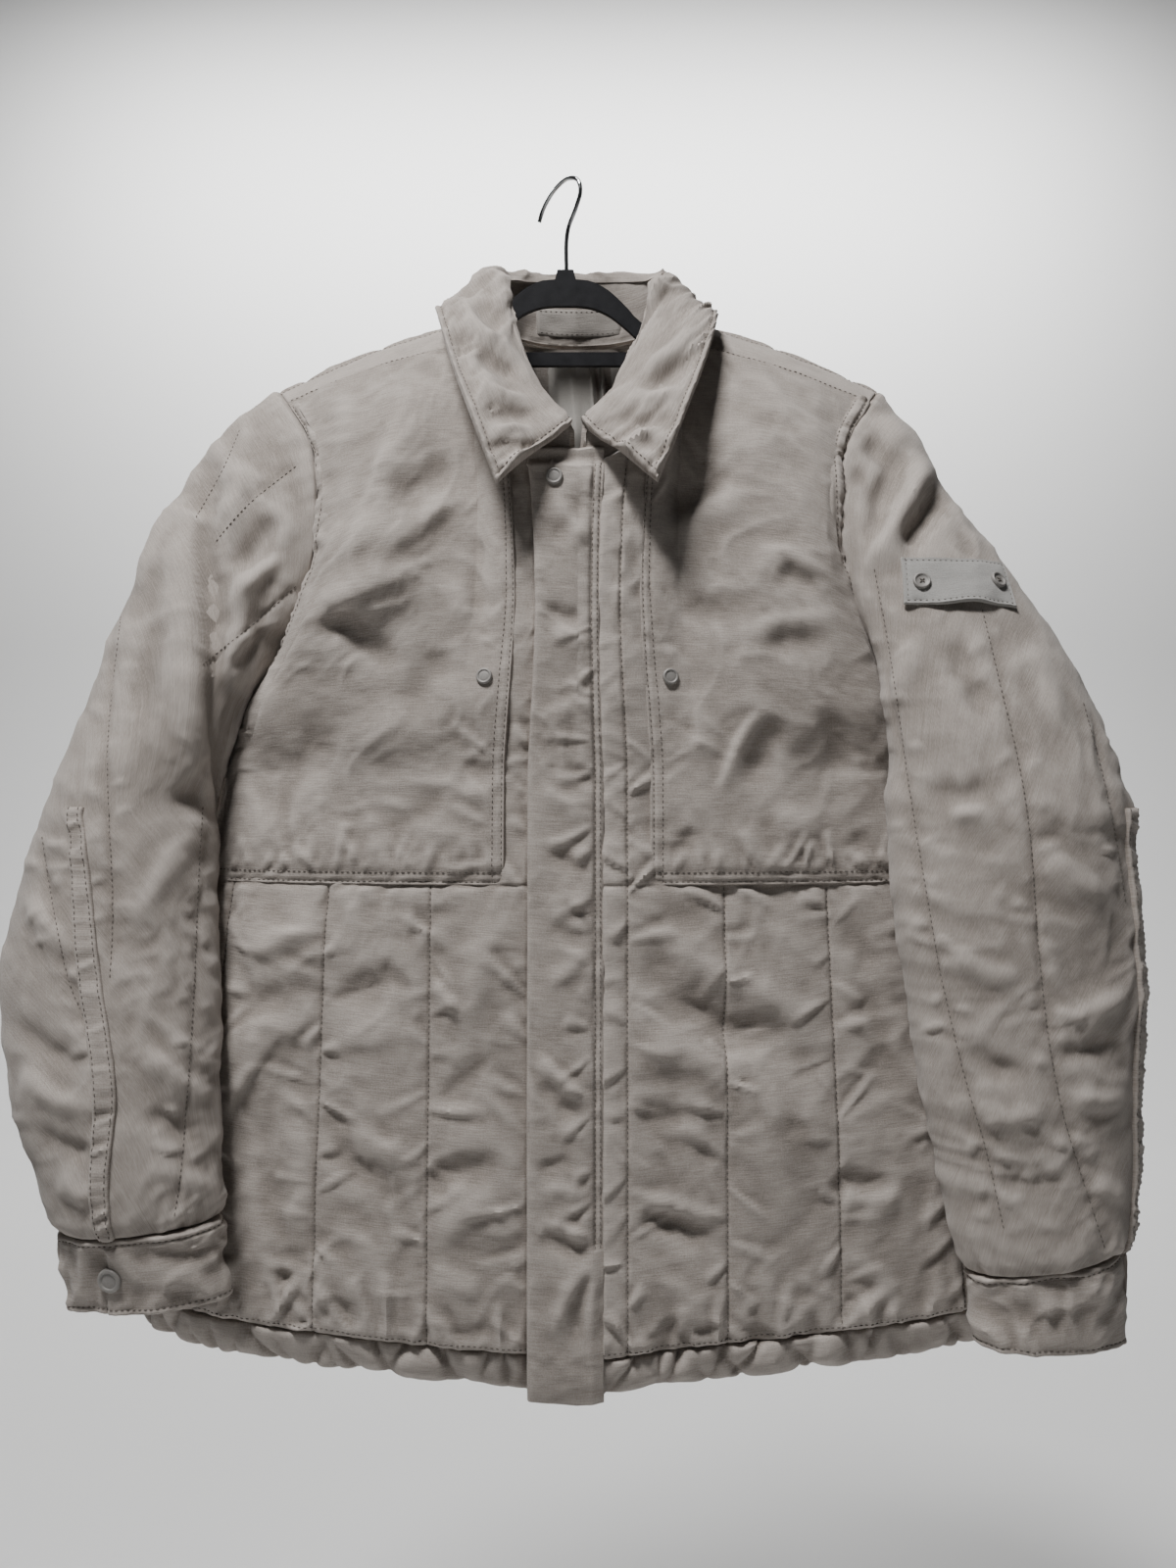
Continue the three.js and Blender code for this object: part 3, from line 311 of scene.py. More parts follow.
def cloth_material(name, dark, light, rough=0.92, slub=1.0, sheen=0.15, bump=0.5, fade=0.2, mottle=1.0):
    """Close canvas: uneven yarns along and across, soft mottling, and a tone from the relief: paler ridges
    as wear, darker grooves as painted shade.
    """
    graph = Graph(name)
    where = graph.add("ShaderNodeUVMap", {"uv_map": "cloth"}).outputs[0]
    across = graph.noise(where, (80, 1300, 1), 3, 0.6)
    along = graph.noise(where, (1500, 130, 1), 2, 0.55)
    long_slub = graph.noise(where, (34, 900, 1), 2, 0.5)
    cloud = graph.noise(where, (9, 12, 1), 4, 0.55)
    patch = graph.noise(where, (48, 60, 1), 3, 0.6)
    speck = graph.noise(where, (900, 900, 1), 2, 0.6)
    # The fade attribute lightens raised cloth as wear and darkens creases and seam grooves as painted
    # shade.
    ridge_wear_groove_shade = graph.add("ShaderNodeAttribute", {"attribute_name": "fade"}).outputs["Fac"]
    tone = graph.weighted([
        (across, 1.1 * slub), (along, 0.4 * slub), (long_slub, 0.5 * slub), (cloud, 0.8 * mottle),
        (patch, 0.5 * mottle), (speck, 0.9), (ridge_wear_groove_shade, fade),
    ], 0.04 - slub - 0.65 * mottle)
    colour = graph.ramp(tone, [(0.0, dark), (1.0, light)])
    graph.paint(Base_Color=colour, Roughness=rough, Specular_IOR_Level=0.25)
    graph.paint(Sheen_Weight=sheen, Sheen_Roughness=0.6)
    split = graph.add("ShaderNodeSeparateXYZ", Vector=where)
    warp = graph.math("SINE", graph.math("MULTIPLY", split.outputs[0], TURN / WARP_PITCH))
    weft = graph.math("SINE", graph.math("MULTIPLY", split.outputs[1], TURN / WEFT_PITCH))
    weave = graph.math("MULTIPLY", warp, weft)
    relief = graph.weighted([(weave, 0.16), (across, 0.8), (along, 0.3), (patch, 0.9), (speck, 0.35)])
    bumped = graph.add("ShaderNodeBump", Height=relief, Strength=bump, Distance=0.0006)
    graph.paint(Normal=bumped.outputs[0])
    return graph.material


def hard_material(name, colour, rough, metal, spots=400.0, spread_by=0.12, bump=0.1, shine=0.5):
    graph = Graph(name)
    where = graph.add("ShaderNodeTexCoord").outputs["Object"]
    fine = graph.noise(where, (spots, spots, spots), 3, 0.6)
    broad = graph.noise(where, (spots / 9, spots / 9, spots / 9), 3, 0.5)
    tone = graph.weighted([(fine, 0.6), (broad, 0.4)])
    low = tuple(c * (1 - spread_by) for c in colour)
    high = tuple(min(c * (1 + spread_by) + 0.004, 1) for c in colour)
    graph.paint(Base_Color=graph.ramp(tone, [(0.3, low), (0.7, high)]))
    graph.paint(Roughness=graph.math("MULTIPLY_ADD", broad, 0.2, rough - 0.1))
    graph.paint(Metallic=metal, Specular_IOR_Level=shine)
    bumped = graph.add("ShaderNodeBump", Height=fine, Strength=bump, Distance=0.0002)
    graph.paint(Normal=bumped.outputs[0])
    return graph.material


# Its fade weight sets how much ridges are paled as wear and grooves darkened as painted shade.
SHELL = cloth_material("shell_canvas", (0.225, 0.193, 0.167), (0.47, 0.422, 0.383),
                       fade=0.26, mottle=0.75)
LINING = cloth_material("lining_weave", (0.42, 0.395, 0.36), (0.55, 0.52, 0.48),
                        rough=0.62, slub=0.6, sheen=0.3, bump=0.25)
TAPE = cloth_material("close_tape", (0.25, 0.225, 0.2), (0.42, 0.39, 0.36), slub=0.6, bump=0.7)
TAB = cloth_material("tab_wool", (0.27, 0.26, 0.246), (0.45, 0.438, 0.42), slub=0.3, bump=0.8)
# Stitch thread, coloured darker than its own tone so that it also stands for the shade in the stitch
# holes: painted shade.
THREAD_DARK_AS_HOLE_SHADE = hard_material("thread_painted_hole_shade", (0.13, 0.114, 0.1), 0.85, 0.0, 900, 0.2, 0.3)
SNAP = hard_material("snap_metal", (0.27, 0.255, 0.24), 0.55, 0.25, 700, 0.1)
PLASTIC = hard_material("hanger_plastic", (0.006, 0.006, 0.008), 0.5, 0.0, 1500, 0.3, 0.25, 0.22)
WIRE = hard_material("plated_wire", (0.66, 0.66, 0.67), 0.16, 1.0, 300, 0.08, 0.03)


# Sheets of cloth.
def seen(points):
    """Where the camera sees points, in the picture."""
    scale = FOCAL / (points[..., 1] - EYE[1])
    return MIDDLE_X + (points[..., 0] - EYE[0]) * scale, MIDDLE_Y - (points[..., 2] - EYE[2]) * scale


def grid_normals(points, inside, around):
    """The normal at each point of a grid, away from the places inside."""
    if around:
        after, before = np.roll(points, -1, 1), np.roll(points, 1, 1)
    else:
        after = np.concatenate([points[:, 1:], points[:, -1:]], 1)
        before = np.concatenate([points[:, :1], points[:, :-1]], 1)
    above = np.concatenate([points[1:], points[-1:]], 0)
    below = np.concatenate([points[:1], points[:-1]], 0)
    normal = unit(np.cross(after - before, above - below))
    outwards = np.sum(normal * (points - inside))
    return normal if outwards > 0 else -normal


class Sheet:
    """A grid of points with a height over each, which is made into a closed sheet of cloth."""

    def __init__(self, points, inside, around=False):
        self.points, self.around = points, around
        self.normals = grid_normals(points, inside, around)
        closed = np.concatenate([points, points[:, :1]], 1) if around else points
        steps = np.linalg.norm(np.diff(closed, axis=1), axis=-1)
        self.u = np.concatenate([np.zeros((len(points), 1)), np.cumsum(steps, 1)], 1)
        self.width = self.u[:, -1:]
        if around:
            self.u = self.u[:, :-1]
        rises = np.linalg.norm(np.diff(points, axis=0), axis=-1)
        self.v = np.concatenate([np.zeros((1, points.shape[1])), np.cumsum(rises, 0)], 0)
        self.height = self.v[-1:]
        self.px, self.py = seen(points)
        to_eye = unit(EYE - points)
        self.facing = np.sum(self.normals * to_eye, -1)
        self.front = smooth(self.facing / 0.25)
        self.lift = np.zeros(points.shape[:2])

    def surface(self, out=0.0):
        return self.points + self.normals * (self.lift + out)[..., None]

    def rim(self, bottom=0, top=0, start=0, end=0):
        """Rounds the sheet down at its edges, by a radius at each."""
        edges = [(self.v, bottom), (self.height - self.v, top),
                 (self.u, start), (self.width - self.u, end)]
        for gap, radius in edges:
            if radius:
                q = np.clip(1 - gap / radius, 0, 1)
                self.lift -= radius * (1 - np.sqrt(1 - q * q))

    def crumple(self, seed, broad=1.2, middle=0.8, fine=0.25, mask=1.0, flat=False):
        """An unevenness that no two places share: soft swells, then creases that come and go."""
        u, v = self.u, self.v
        if flat:
            u, v = self.points[..., 0] + 0.7 * self.points[..., 1], self.points[..., 2]
        u, v = u + 13 * noise2(u / 47, v / 39, seed), v + 11 * noise2(u / 41, v / 53, seed + 1)
        soft = noise2(u / 74, v / 61, seed + 2) + 0.6 * noise2(u / 37, v / 33, seed + 3)
        total = broad * soft
        for n, (a, size) in enumerate(((0.5, 26), (-0.6, 22), (1.3, 17), (0.1, 13), (-1.1, 11))):
            p, q = u * np.cos(a) + v * np.sin(a), v * np.cos(a) - u * np.sin(a)
            q = q + 0.35 * size * noise2(p / size, q / size, seed + 40 + n)
            creased = 0.45 - np.abs(noise2(p / (2.6 * size), q / size, seed + 10 + n)) ** 0.8
            where = smooth(0.5 + 1.1 * noise2(u / 44 + 7 * n, v / 52, seed + 20 + n))
            total = total + 1.5 * middle * (size / 17) * creased * where
        total = total + fine * noise2(u / 8, v / 7, seed + 5)
        total = total + 0.5 * fine * noise2(u / 4.1, v / 3.7, seed + 6)
        self.lift += mask * total

    def at(self, row, column, out=0.0):
        """The displaced surface at fractional grid places."""
        grid = self.surface(out)
        j = np.clip(np.floor(row).astype(int), 0, grid.shape[0] - 2)
        i = np.floor(column).astype(int)
        s, t = (column - i)[..., None], (row - j)[..., None]
        count = grid.shape[1]
        if self.around:
            i0, i1 = i % count, (i + 1) % count
        else:
            i0 = np.clip(i, 0, count - 2)
            i1 = i0 + 1
            s = (column - i0)[..., None]
        return lerp(lerp(grid[j, i0], grid[j, i1], s), lerp(grid[j + 1, i0], grid[j + 1, i1], s), t)


def blurred(values, steps):
    """A grid smoothed twice each way, over this many steps on either side."""
    for axis in (0, 1):
        margins = [(steps, steps) if a == axis else (0, 0) for a in (0, 1)]
        for _ in range(2):
            padded = np.pad(values, margins, mode="edge")
            run = np.cumsum(padded, axis)
            zero = np.zeros_like(np.take(run, [0], axis))
            run = np.concatenate([zero, run], axis)
            size = 2 * steps + 1
            count = values.shape[axis]
            ahead, behind = np.take(run, range(size, size + count), axis), np.take(run, range(count), axis)
            values = (ahead - behind) / size
    return values


def wall_faces(rows, columns, every, around):
    """Faces of a closed sheet: a fine outer grid, a coarser inner one and the rims between them."""
    fine = np.arange(rows * columns).reshape(rows, columns)
    js = np.unique(np.append(np.arange(0, rows, every), rows - 1))
    if around:
        cs = np.arange(0, columns - every // 2, every)
    else:
        cs = np.unique(np.append(np.arange(0, columns, every), columns - 1))
    coarse = rows * columns + np.arange(len(js) * len(cs)).reshape(len(js), len(cs))
    outer, inner = (np.concatenate([grid, grid[:, :1]], 1) if around else grid for grid in (fine, coarse))

    def quads(*corners):
        return np.stack(corners, -1).reshape(-1, 4).tolist()

    faces = quads(outer[:-1, :-1], outer[:-1, 1:], outer[1:, 1:], outer[1:, :-1])
    faces += quads(inner[:-1, :-1], inner[1:, :-1], inner[1:, 1:], inner[:-1, 1:])
    ends = [*cs, columns] if around else list(cs)
    for k in range(len(ends) - 1):
        span = np.arange(ends[k], ends[k + 1] + 1)
        low, high = outer[0, span], outer[-1, span]
        faces.append([*low[::-1].tolist(), int(inner[0, k]), int(inner[0, k + 1])])
        faces.append([*high.tolist(), int(inner[-1, k + 1]), int(inner[-1, k])])
    if not around:
        for k in range(len(js) - 1):
            span = np.arange(js[k], js[k + 1] + 1)
            faces.append([*outer[span, 0].tolist(), int(inner[k + 1, 0]), int(inner[k, 0])])
            faces.append([*outer[span[::-1], -1].tolist(), int(inner[k, -1]), int(inner[k + 1, -1])])
    return faces, js, cs


def linked(name, data):
    item = bpy.data.objects.new(name, data)
    bpy.context.scene.collection.objects.link(item)
    return item


def shade_smooth(mesh):
    mesh.polygons.foreach_set("use_smooth", np.ones(len(mesh.polygons), bool))


def new_mesh(name, corners, faces, material, uv=None, fade=None, sharp=50):
    mesh = bpy.data.meshes.new(name)
    mesh.from_pydata((corners + SHIFT) * 0.001, [], faces)
    shade_smooth(mesh)
    loops = np.zeros(len(mesh.loops), np.int32)
    mesh.loops.foreach_get("vertex_index", loops)
    if uv is not None:
        layer = mesh.uv_layers.new(name="cloth")
        layer.data.foreach_set("uv", (uv[loops] * 0.001).astype(np.float32).ravel())
    # The fade attribute carries the relief tone: wear on ridges and painted shade in grooves.
    if fade is not None:
        mesh.attributes.new("fade", "FLOAT", "POINT").data.foreach_set("value", fade.astype(np.float32))
    mesh.materials.append(material)
    mesh.update()
    mesh.set_sharp_from_angle(angle=np.radians(sharp))
    return linked(name, mesh)


def facing_out(corners, faces, normal, index):
    """Turns every face round if the first ones point against the sheet's own normals."""
    a, b, c = (corners[faces[index][k]] for k in (0, 1, 2))
    return faces if np.dot(np.cross(b - a, c - b), normal) > 0 else [face[::-1] for face in faces]


def finish_piece(piece, nodes):
    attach(piece, "root")
    if nodes:
        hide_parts(*nodes)
    return piece


trees = {}


def make(name, sheet, thick=WALL, nodes=(), material=SHELL, every=4):
    """Makes a sheet's mesh, keeps a tree of it for rays, and says which solids it stands for."""
    outer = sheet.surface()
    rows, columns = sheet.lift.shape
    faces, js, cs = wall_faces(rows, columns, every, sheet.around)
    under = sheet.points + sheet.normals * (np.minimum(sheet.lift, 0) * 0.8 - thick)[..., None]
    inner = under[np.ix_(js, cs)].reshape(-1, 3)
    corners = np.concatenate([outer.reshape(-1, 3), inner])
    middle = (rows // 2) * (columns if sheet.around else columns - 1) + columns // 2
    probe = sheet.normals.reshape(-1, 3)[faces[middle][0]]
    faces = facing_out(corners, faces, probe, middle)
    uv = np.stack([sheet.u, sheet.v], -1)
    uv = np.concatenate([uv.reshape(-1, 2), uv[np.ix_(js, cs)].reshape(-1, 2)])
    # Paler where the cloth stands above its blurred self, as wear on ridges; darker where it sinks below,
    # as painted shade in creases and seam grooves.
    relief = sheet.lift - blurred(sheet.lift, 4)
    fade = np.concatenate([np.clip(relief / 0.9, -1, 1).ravel(), np.zeros(len(inner))])
    piece = new_mesh(f"{name}_cloth", corners, faces, material, uv, fade)
    finish_piece(piece, nodes or [name])
    trees[name] = BVHTree.FromPolygons(corners.tolist(), faces)
    return sheet


# Creases, puckers and seams.
class Line:
    """How far each point of a sheet is from a line on it, and how far along: all in millimetres."""

    def __init__(self, pick, gap, along, side, total):
        self.pick, self.gap, self.along, self.side, self.total = pick, gap, along, side, total

    def ends(self, share=0.3, least=12.0):
        run = np.maximum(self.total * share, least)
        return smooth(np.minimum(self.along, self.total - self.along) / run)


def drawn(sheet, path, reach):
    """A line drawn where the camera sees it. Its side is +1 left of a line that runs down."""
    path = np.array(path, float)
    curve = catmull(path, np.linspace(0, 1, 6 * (len(path) - 1) + 1))
    low, high = curve.min(0) - reach / PX, curve.max(0) + reach / PX
    pick = ((sheet.px > low[0]) & (sheet.px < high[0]) & (sheet.py > low[1]) & (sheet.py < high[1])
            & (sheet.facing > 0.02))
    spot = np.stack([sheet.px[pick], sheet.py[pick]], -1)
    best = np.full(len(spot), 1e9)
    along, side = np.zeros(len(spot)), np.ones(len(spot))
    start = 0.0
    for a, b in zip(curve[:-1], curve[1:]):
        step = b - a
        length = np.hypot(*step) + 1e-9
        t = np.clip(((spot - a) @ step) / length**2, 0, 1)
        off = spot - a - t[:, None] * step
        gap = np.hypot(off[:, 0], off[:, 1])
        closer = gap < best
        best = np.where(closer, gap, best)
        along = np.where(closer, start + t * length, along)
        side = np.where(closer, np.sign(step[0] * off[:, 1] - step[1] * off[:, 0]), side)
        start += length
    return Line(pick, best * PX, along * PX, side, start * PX)


def straight(off, along, total):
    """The line on a sheet's grid where off is 0."""
    whole = np.ones(off.shape, bool)
    return Line(whole, np.abs(off).ravel(), along.ravel(), np.sign(off).ravel(),
                np.broadcast_to(total, off.shape).ravel())


def upright(sheet, at):
    """The line up a sheet at one place of its width: at is one number, or one for each row."""
    return straight(sheet.u - np.reshape(at, (-1, 1)), sheet.v, sheet.height)


def level(sheet, at):
    """The line across a sheet at one height: at is one number, or one for each column."""
    return straight(sheet.v - np.reshape(at, (1, -1)), sheet.u, sheet.width)


def raise_by(sheet, line, amount):
    lifted = np.zeros(sheet.lift.shape)
    lifted[line.pick] = amount
    if line.pick.all():
        sheet.lift = sheet.lift + lifted
    else:
        sheet.lift = sheet.lift + lifted * sheet.front


def fold(sheet, height, half, path, lean=0.0, share=0.35):
    """A soft ridge, or a trough where height is below 0, steeper on one side."""
    line = drawn(sheet, path, 3.2 * half)
    wide = half * (1 + lean * line.side)
    bend = 1 + 0.3 * noise1(line.along / 17, int(abs(path[0][0] * 3 + path[0][1]) % 900))
    raise_by(sheet, line, FULL * height * bend * np.exp(-((line.gap / wide) ** 2)) * line.ends(share))


def fold_all(sheet, table, taller=1.0, wider=1.0):
    for height, half, path, *lean in table:
        fold(sheet, taller * height, wider * half, path, *lean)


def sewn(sheet, line, depth=0.9, puff=1.6, soft=5.0, height=0.9, spacing=9.0, reach=11.0,
         seed=1, slant=0.5, fade_ends=False):
    """A row of stitches pulled into padded cloth, with uneven puckers running out from it."""
    walk = line.along + slant * line.gap * line.side
    wave = 0.65 * noise1(walk / spacing, seed) + 0.45 * noise1(walk / (spacing * 0.47), seed + 1)
    wave = wave + 0.25 * noise1((walk + 2 * line.gap * line.side) / (spacing * 0.8), seed + 5) * line.side
    strength = 0.7 + 0.55 * noise1(line.along / (spacing * 6), seed + 2)
    pinned = 1 - np.exp(-((line.gap / 1.6) ** 2))
    amount = height * strength * wave * pinned * np.exp(-((line.gap / reach) ** 1.5))
    amount = amount - depth * np.exp(-((line.gap / 1.15) ** 2))
    amount = amount - puff * np.exp(-((line.gap / soft) ** 1.5))
    if fade_ends:
        amount = amount * line.ends(0.1, 8)
    raise_by(sheet, line, amount)


def tucks(sheet, spots, seed, height=1.5, length=26.0, half=2.6, mask=1.0):
    """Small darts of cloth that run out from points (u, v, direction) on a row of stitches."""
    draw = np.random.RandomState(seed)
    total = np.zeros(sheet.lift.shape)
    for u0, v0, direction in spots:
        angle = direction + draw.uniform(-0.9, 0.9)
        reach, wide = length * draw.uniform(0.5, 1.5), half * draw.uniform(0.7, 1.4)
        tall = height * draw.uniform(0.4, 1.3)
        du, dv = sheet.u - u0, sheet.v - v0
        p = (du * np.cos(angle) + dv * np.sin(angle)) / reach
        q = dv * np.cos(angle) - du * np.sin(angle) + draw.uniform(-3, 3) * p * p
        q = q / (wide * (0.5 + np.maximum(p, 0)))
        run = np.where((p > 0) & (p < 1), np.maximum(p * (1 - p), 0) ** 0.7 * 2.6, 0)
        total += tall * run * (np.exp(-q * q) - 0.45 * np.exp(-((q - 1.7) ** 2)))
    sheet.lift += total * mask


def places_along(total, pitch, seed):
    """Uneven places for tucks along a line."""
    draw = np.random.RandomState(seed)
    places = np.arange(pitch / 2, total, pitch)
    return np.clip(places + draw.uniform(-0.4, 0.4, len(places)) * pitch, 0, total)


def drawn_tucks(sheet, path, seed, pitch=20.0, height=1.6, length=24.0, half=2.8):
    """Tucks on both sides of a line drawn where the camera sees it, in picture units."""
    draw = np.random.RandomState(seed)
    curve = catmull(path, np.linspace(0, 1, 100))
    run = np.concatenate([[0], np.cumsum(np.hypot(*np.diff(curve, axis=0).T))])
    for n, place in enumerate(np.arange(pitch / 2, run[-1], pitch)):
        k = min(np.searchsorted(run, place + draw.uniform(-0.4, 0.4) * pitch), 98)
        heading = np.arctan2(*(curve[k + 1] - curve[k])[::-1])
        angle = heading + (np.pi / 2 if n % 2 else -np.pi / 2) + draw.uniform(-0.8, 0.8)
        out = np.array([np.cos(angle), np.sin(angle)]) * length * draw.uniform(0.6, 1.6)
        bow = np.array([-out[1], out[0]]) * draw.uniform(-0.15, 0.15)
        fold(sheet, height * draw.uniform(0.4, 1.3), half * draw.uniform(0.8, 1.5),
             [curve[k], curve[k] + out / 2 + bow, curve[k] + out], 0.3, 0.4)


# The body.
def arc_columns(step, spots):
    """Fractions from the centre to the side seam, evenly apart along the cloth and closer at the spots."""
    probe = 1 - (1 - np.linspace(0, 1, 3000)) ** 2.2
    run = body_point(4, probe, "front")
    length = lengths(run)
    marks = np.interp(np.array(spots) / CHEST, probe, length)
    return np.interp(spread(0, length[-1], step, marks), length, probe)


def body_rows(first, last, step, face, spots=()):
    """Rows up the body, evenly apart along the cloth and closer at the spots."""
    probe = np.linspace(first, last, 3000)
    run = panel_point(probe, 0.5, face)
    length = lengths(run)
    marks = np.interp(np.array(spots), probe, length) if len(spots) else ()
    return np.interp(spread(0, length[-1], step, marks), length, probe)


def column_at(sheet, fractions, width):
    """Where a line of one chest width runs on a sheet whose columns are at these fractions."""
    return np.array([np.interp(width / CHEST, fractions, row) for row in sheet.u])


def inside_body(points):
    """A place well inside the body for each of these on its surface."""
    height = np.minimum(points[..., 2:] - 40, -260)
    return points * np.array([0.5, 0, 0]) + np.array([0, -20, 0]) + height * [0, 0, 1]


# The tables of folds give each one's height, half width and path, and how far it leans to one side.
CHEST_LINES = {
    "right": [
        (4.4, 11, [(427, 404), (402, 452), (383, 506), (364, 552), (352, 596)], -0.35),
        (3.2, 9, [(492, 504), (455, 518), (414, 545), (372, 580)], 0.3),
        (-3.6, 12, [(470, 470), (425, 500), (398, 526)]),
        (3.6, 9, [(446, 583), (391, 594), (350, 614), (304, 645)], 0.35),
        (-4.6, 10, [(418, 690), (382, 660), (348, 636), (322, 652)]),
        (2.2, 5, [(334, 540), (324, 549), (312, 557)], 0.2),
        (-1.8, 4, [(334, 552), (325, 560), (314, 567)]),
        (-1.6, 6, [(322, 476), (334, 488), (336, 504)]),
        (3.0, 15, [(293, 661), (259, 747), (226, 826)], 0.3),
        (-3.6, 15, [(356, 722), (309, 779), (276, 850)]),
        (2.6, 13, [(430, 730), (386, 754), (340, 800)], 0.2),
        (-2.8, 12, [(470, 664), (436, 690), (420, 740)]),
        (-2.0, 7, [(466, 776), (490, 788), (513, 793)]),
        (1.8, 7, [(470, 800), (492, 812), (512, 812)]),
        (-2.0, 9, [(452, 800), (430, 830), (384, 862)]),
        (1.8, 9, [(360, 396), (352, 440), (342, 480)]),
        (1.6, 9, [(486, 560), (470, 610), (476, 650)]),
        (-1.6, 8, [(500, 540), (486, 580), (492, 630)]),
    ],
    "left": [
        (3.0, 13, [(706, 440), (750, 452), (800, 470)], 0.2),
        (-3.2, 11, [(668, 524), (704, 506), (740, 486)]),
        (3.6, 11, [(680, 562), (726, 522), (776, 500)], 0.2),
        (3.4, 9, [(764, 556), (808, 570), (850, 592)], 0.35),
        (-4.2, 8, [(790, 578), (815, 590), (842, 602)]),
        (-2.8, 11, [(681, 612), (740, 625), (778, 606)]),
        (2.4, 8, [(756, 644), (806, 634), (864, 628)], 0.2),
        (-2.4, 9, [(770, 662), (806, 654), (846, 660)]),
        (3.0, 6, [(788, 716), (758, 747), (740, 788), (730, 818)], -0.4),
        (-3.2, 11, [(800, 730), (776, 770), (764, 812)]),
        (-3.2, 10, [(832, 716), (852, 756), (846, 800)]),
        (2.2, 11, [(700, 690), (716, 740), (706, 790)]),
        (2.6, 13, [(780, 838), (810, 836), (842, 846)], 0.2),
        (-2.6, 8, [(690, 846), (702, 860), (712, 874)]),
        (-2.4, 8, [(866, 846), (874, 860), (876, 878)]),
        (2.0, 9, [(812, 420), (840, 466), (848, 520)]),
        (-1.8, 9, [(740, 400), (770, 424), (790, 452)]),
    ],
}
SKIRT_LINES = {
    "right": [
        (3.8, 11, [(340, 922), (304, 954), (240, 982)], 0.3),
        (-3.8, 11, [(326, 1002), (262, 1024), (232, 1042)]),
        (2.4, 9, [(330, 1040), (280, 1058), (240, 1090)], 0.2),
        (2.6, 4, [(277, 1070), (250, 1104), (229, 1147)], 0.4),
        (-3.4, 10, [(420, 990), (376, 1006), (338, 1024)]),
        (2.4, 11, [(424, 1040), (386, 1056), (340, 1060)], 0.2),
        (2.2, 4, [(442, 995), (456, 1016), (474, 1042)], 0.3),
        (-3.2, 10, [(334, 1160), (362, 1188), (398, 1214)]),
        (2.6, 9, [(352, 1140), (392, 1172), (424, 1190)], 0.2),
        (-4.2, 10, [(522, 1184), (470, 1194), (430, 1210)]),
        (3.2, 10, [(516, 1216), (473, 1240), (440, 1282)], 0.2),
        (2.6, 12, [(520, 930), (488, 980), (470, 1060)], 0.2),
        (-2.2, 9, [(500, 1060), (480, 1100), (440, 1130)]),
        (-2.6, 8, [(262, 1170), (284, 1240), (292, 1306)]),
        (2.2, 8, [(300, 1110), (312, 1190), (306, 1262)], 0.2),
        (-3.2, 6, [(284, 1292), (290, 1302), (300, 1314)]),
        (-3.2, 7, [(346, 1322), (354, 1338), (372, 1352)]),
        (2.2, 8, [(360, 1250), (386, 1290), (410, 1340)], 0.2),
        (-2.4, 7, [(440, 1330), (470, 1356), (520, 1360)]),
        (2.0, 7, [(440, 1290), (466, 1310), (500, 1316)]),
    ],
    "left": [
        (-5.4, 13, [(646, 1000), (695, 1022), (740, 1048), (795, 1064), (848, 1106)]),
        (3.4, 12, [(660, 956), (730, 990), (800, 1026), (850, 1062)], -0.2),
        (2.8, 11, [(648, 1062), (700, 1074), (752, 1090)], 0.2),
        (-3.0, 8, [(646, 1134), (672, 1140), (700, 1140)]),
        (2.6, 10, [(764, 1142), (795, 1206), (818, 1252)], 0.2),
        (-2.4, 9, [(800, 1130), (824, 1170), (846, 1190)]),
        (-4.6, 8, [(646, 1244), (690, 1250), (734, 1274)]),
        (2.8, 7, [(648, 1226), (690, 1230), (738, 1248)], 0.2),
        (-3.0, 8, [(848, 1200), (878, 1208), (912, 1204)]),
        (2.8, 8, [(850, 1226), (884, 1224), (930, 1216)], 0.2),
        (-2.6, 10, [(878, 1000), (898, 1068), (886, 1112)]),
        (-2.2, 9, [(860, 930), (880, 970), (892, 1010)]),
        (-3.2, 7, [(672, 1340), (690, 1362), (712, 1382)]),
        (-2.8, 6, [(760, 1352), (772, 1370), (782, 1382)]),
        (2.4, 8, [(770, 1300), (802, 1330), (838, 1350)], 0.2),
        (2.0, 8, [(664, 1296), (704, 1322), (740, 1332)], 0.2),
        (2.2, 8, [(860, 1276), (894, 1300), (924, 1322)], 0.2),
    ],
}


front_cols = arc_columns(2.5, QUILT)
front_rows = body_rows(1, 6, 2.5, "front", [4])


def armhole_band(sheet, side):
    """The turned band beside the armhole, laddered between its two rows of stitches."""
    inset = sheet.width - sheet.u
    above = smooth((sheet.v / sheet.height - 0.62) / 0.08)
    over = smooth((ARMHOLE_BAND - inset) / 1.5) * above
    ladder = 1 - 1.7 * np.abs(noise1((sheet.v + 1.5 * noise1(sheet.v / 20, 35)) / 5.2, 31 + side))
    sheet.lift += over * (1.1 + 1.5 * ladder * np.sin(np.pi * np.clip(inset / ARMHOLE_BAND, 0, 1)))
    for place in ARMHOLE_INSETS:
        sheet.lift -= 1.2 * above * np.exp(-(((inset - place) / 1.2) ** 2))
    underarm = smooth((8 - inset) / 8) * np.exp(-(((sheet.points[..., 2] - UNDERARM) / 24) ** 2))
    sheet.lift += 5 * underarm


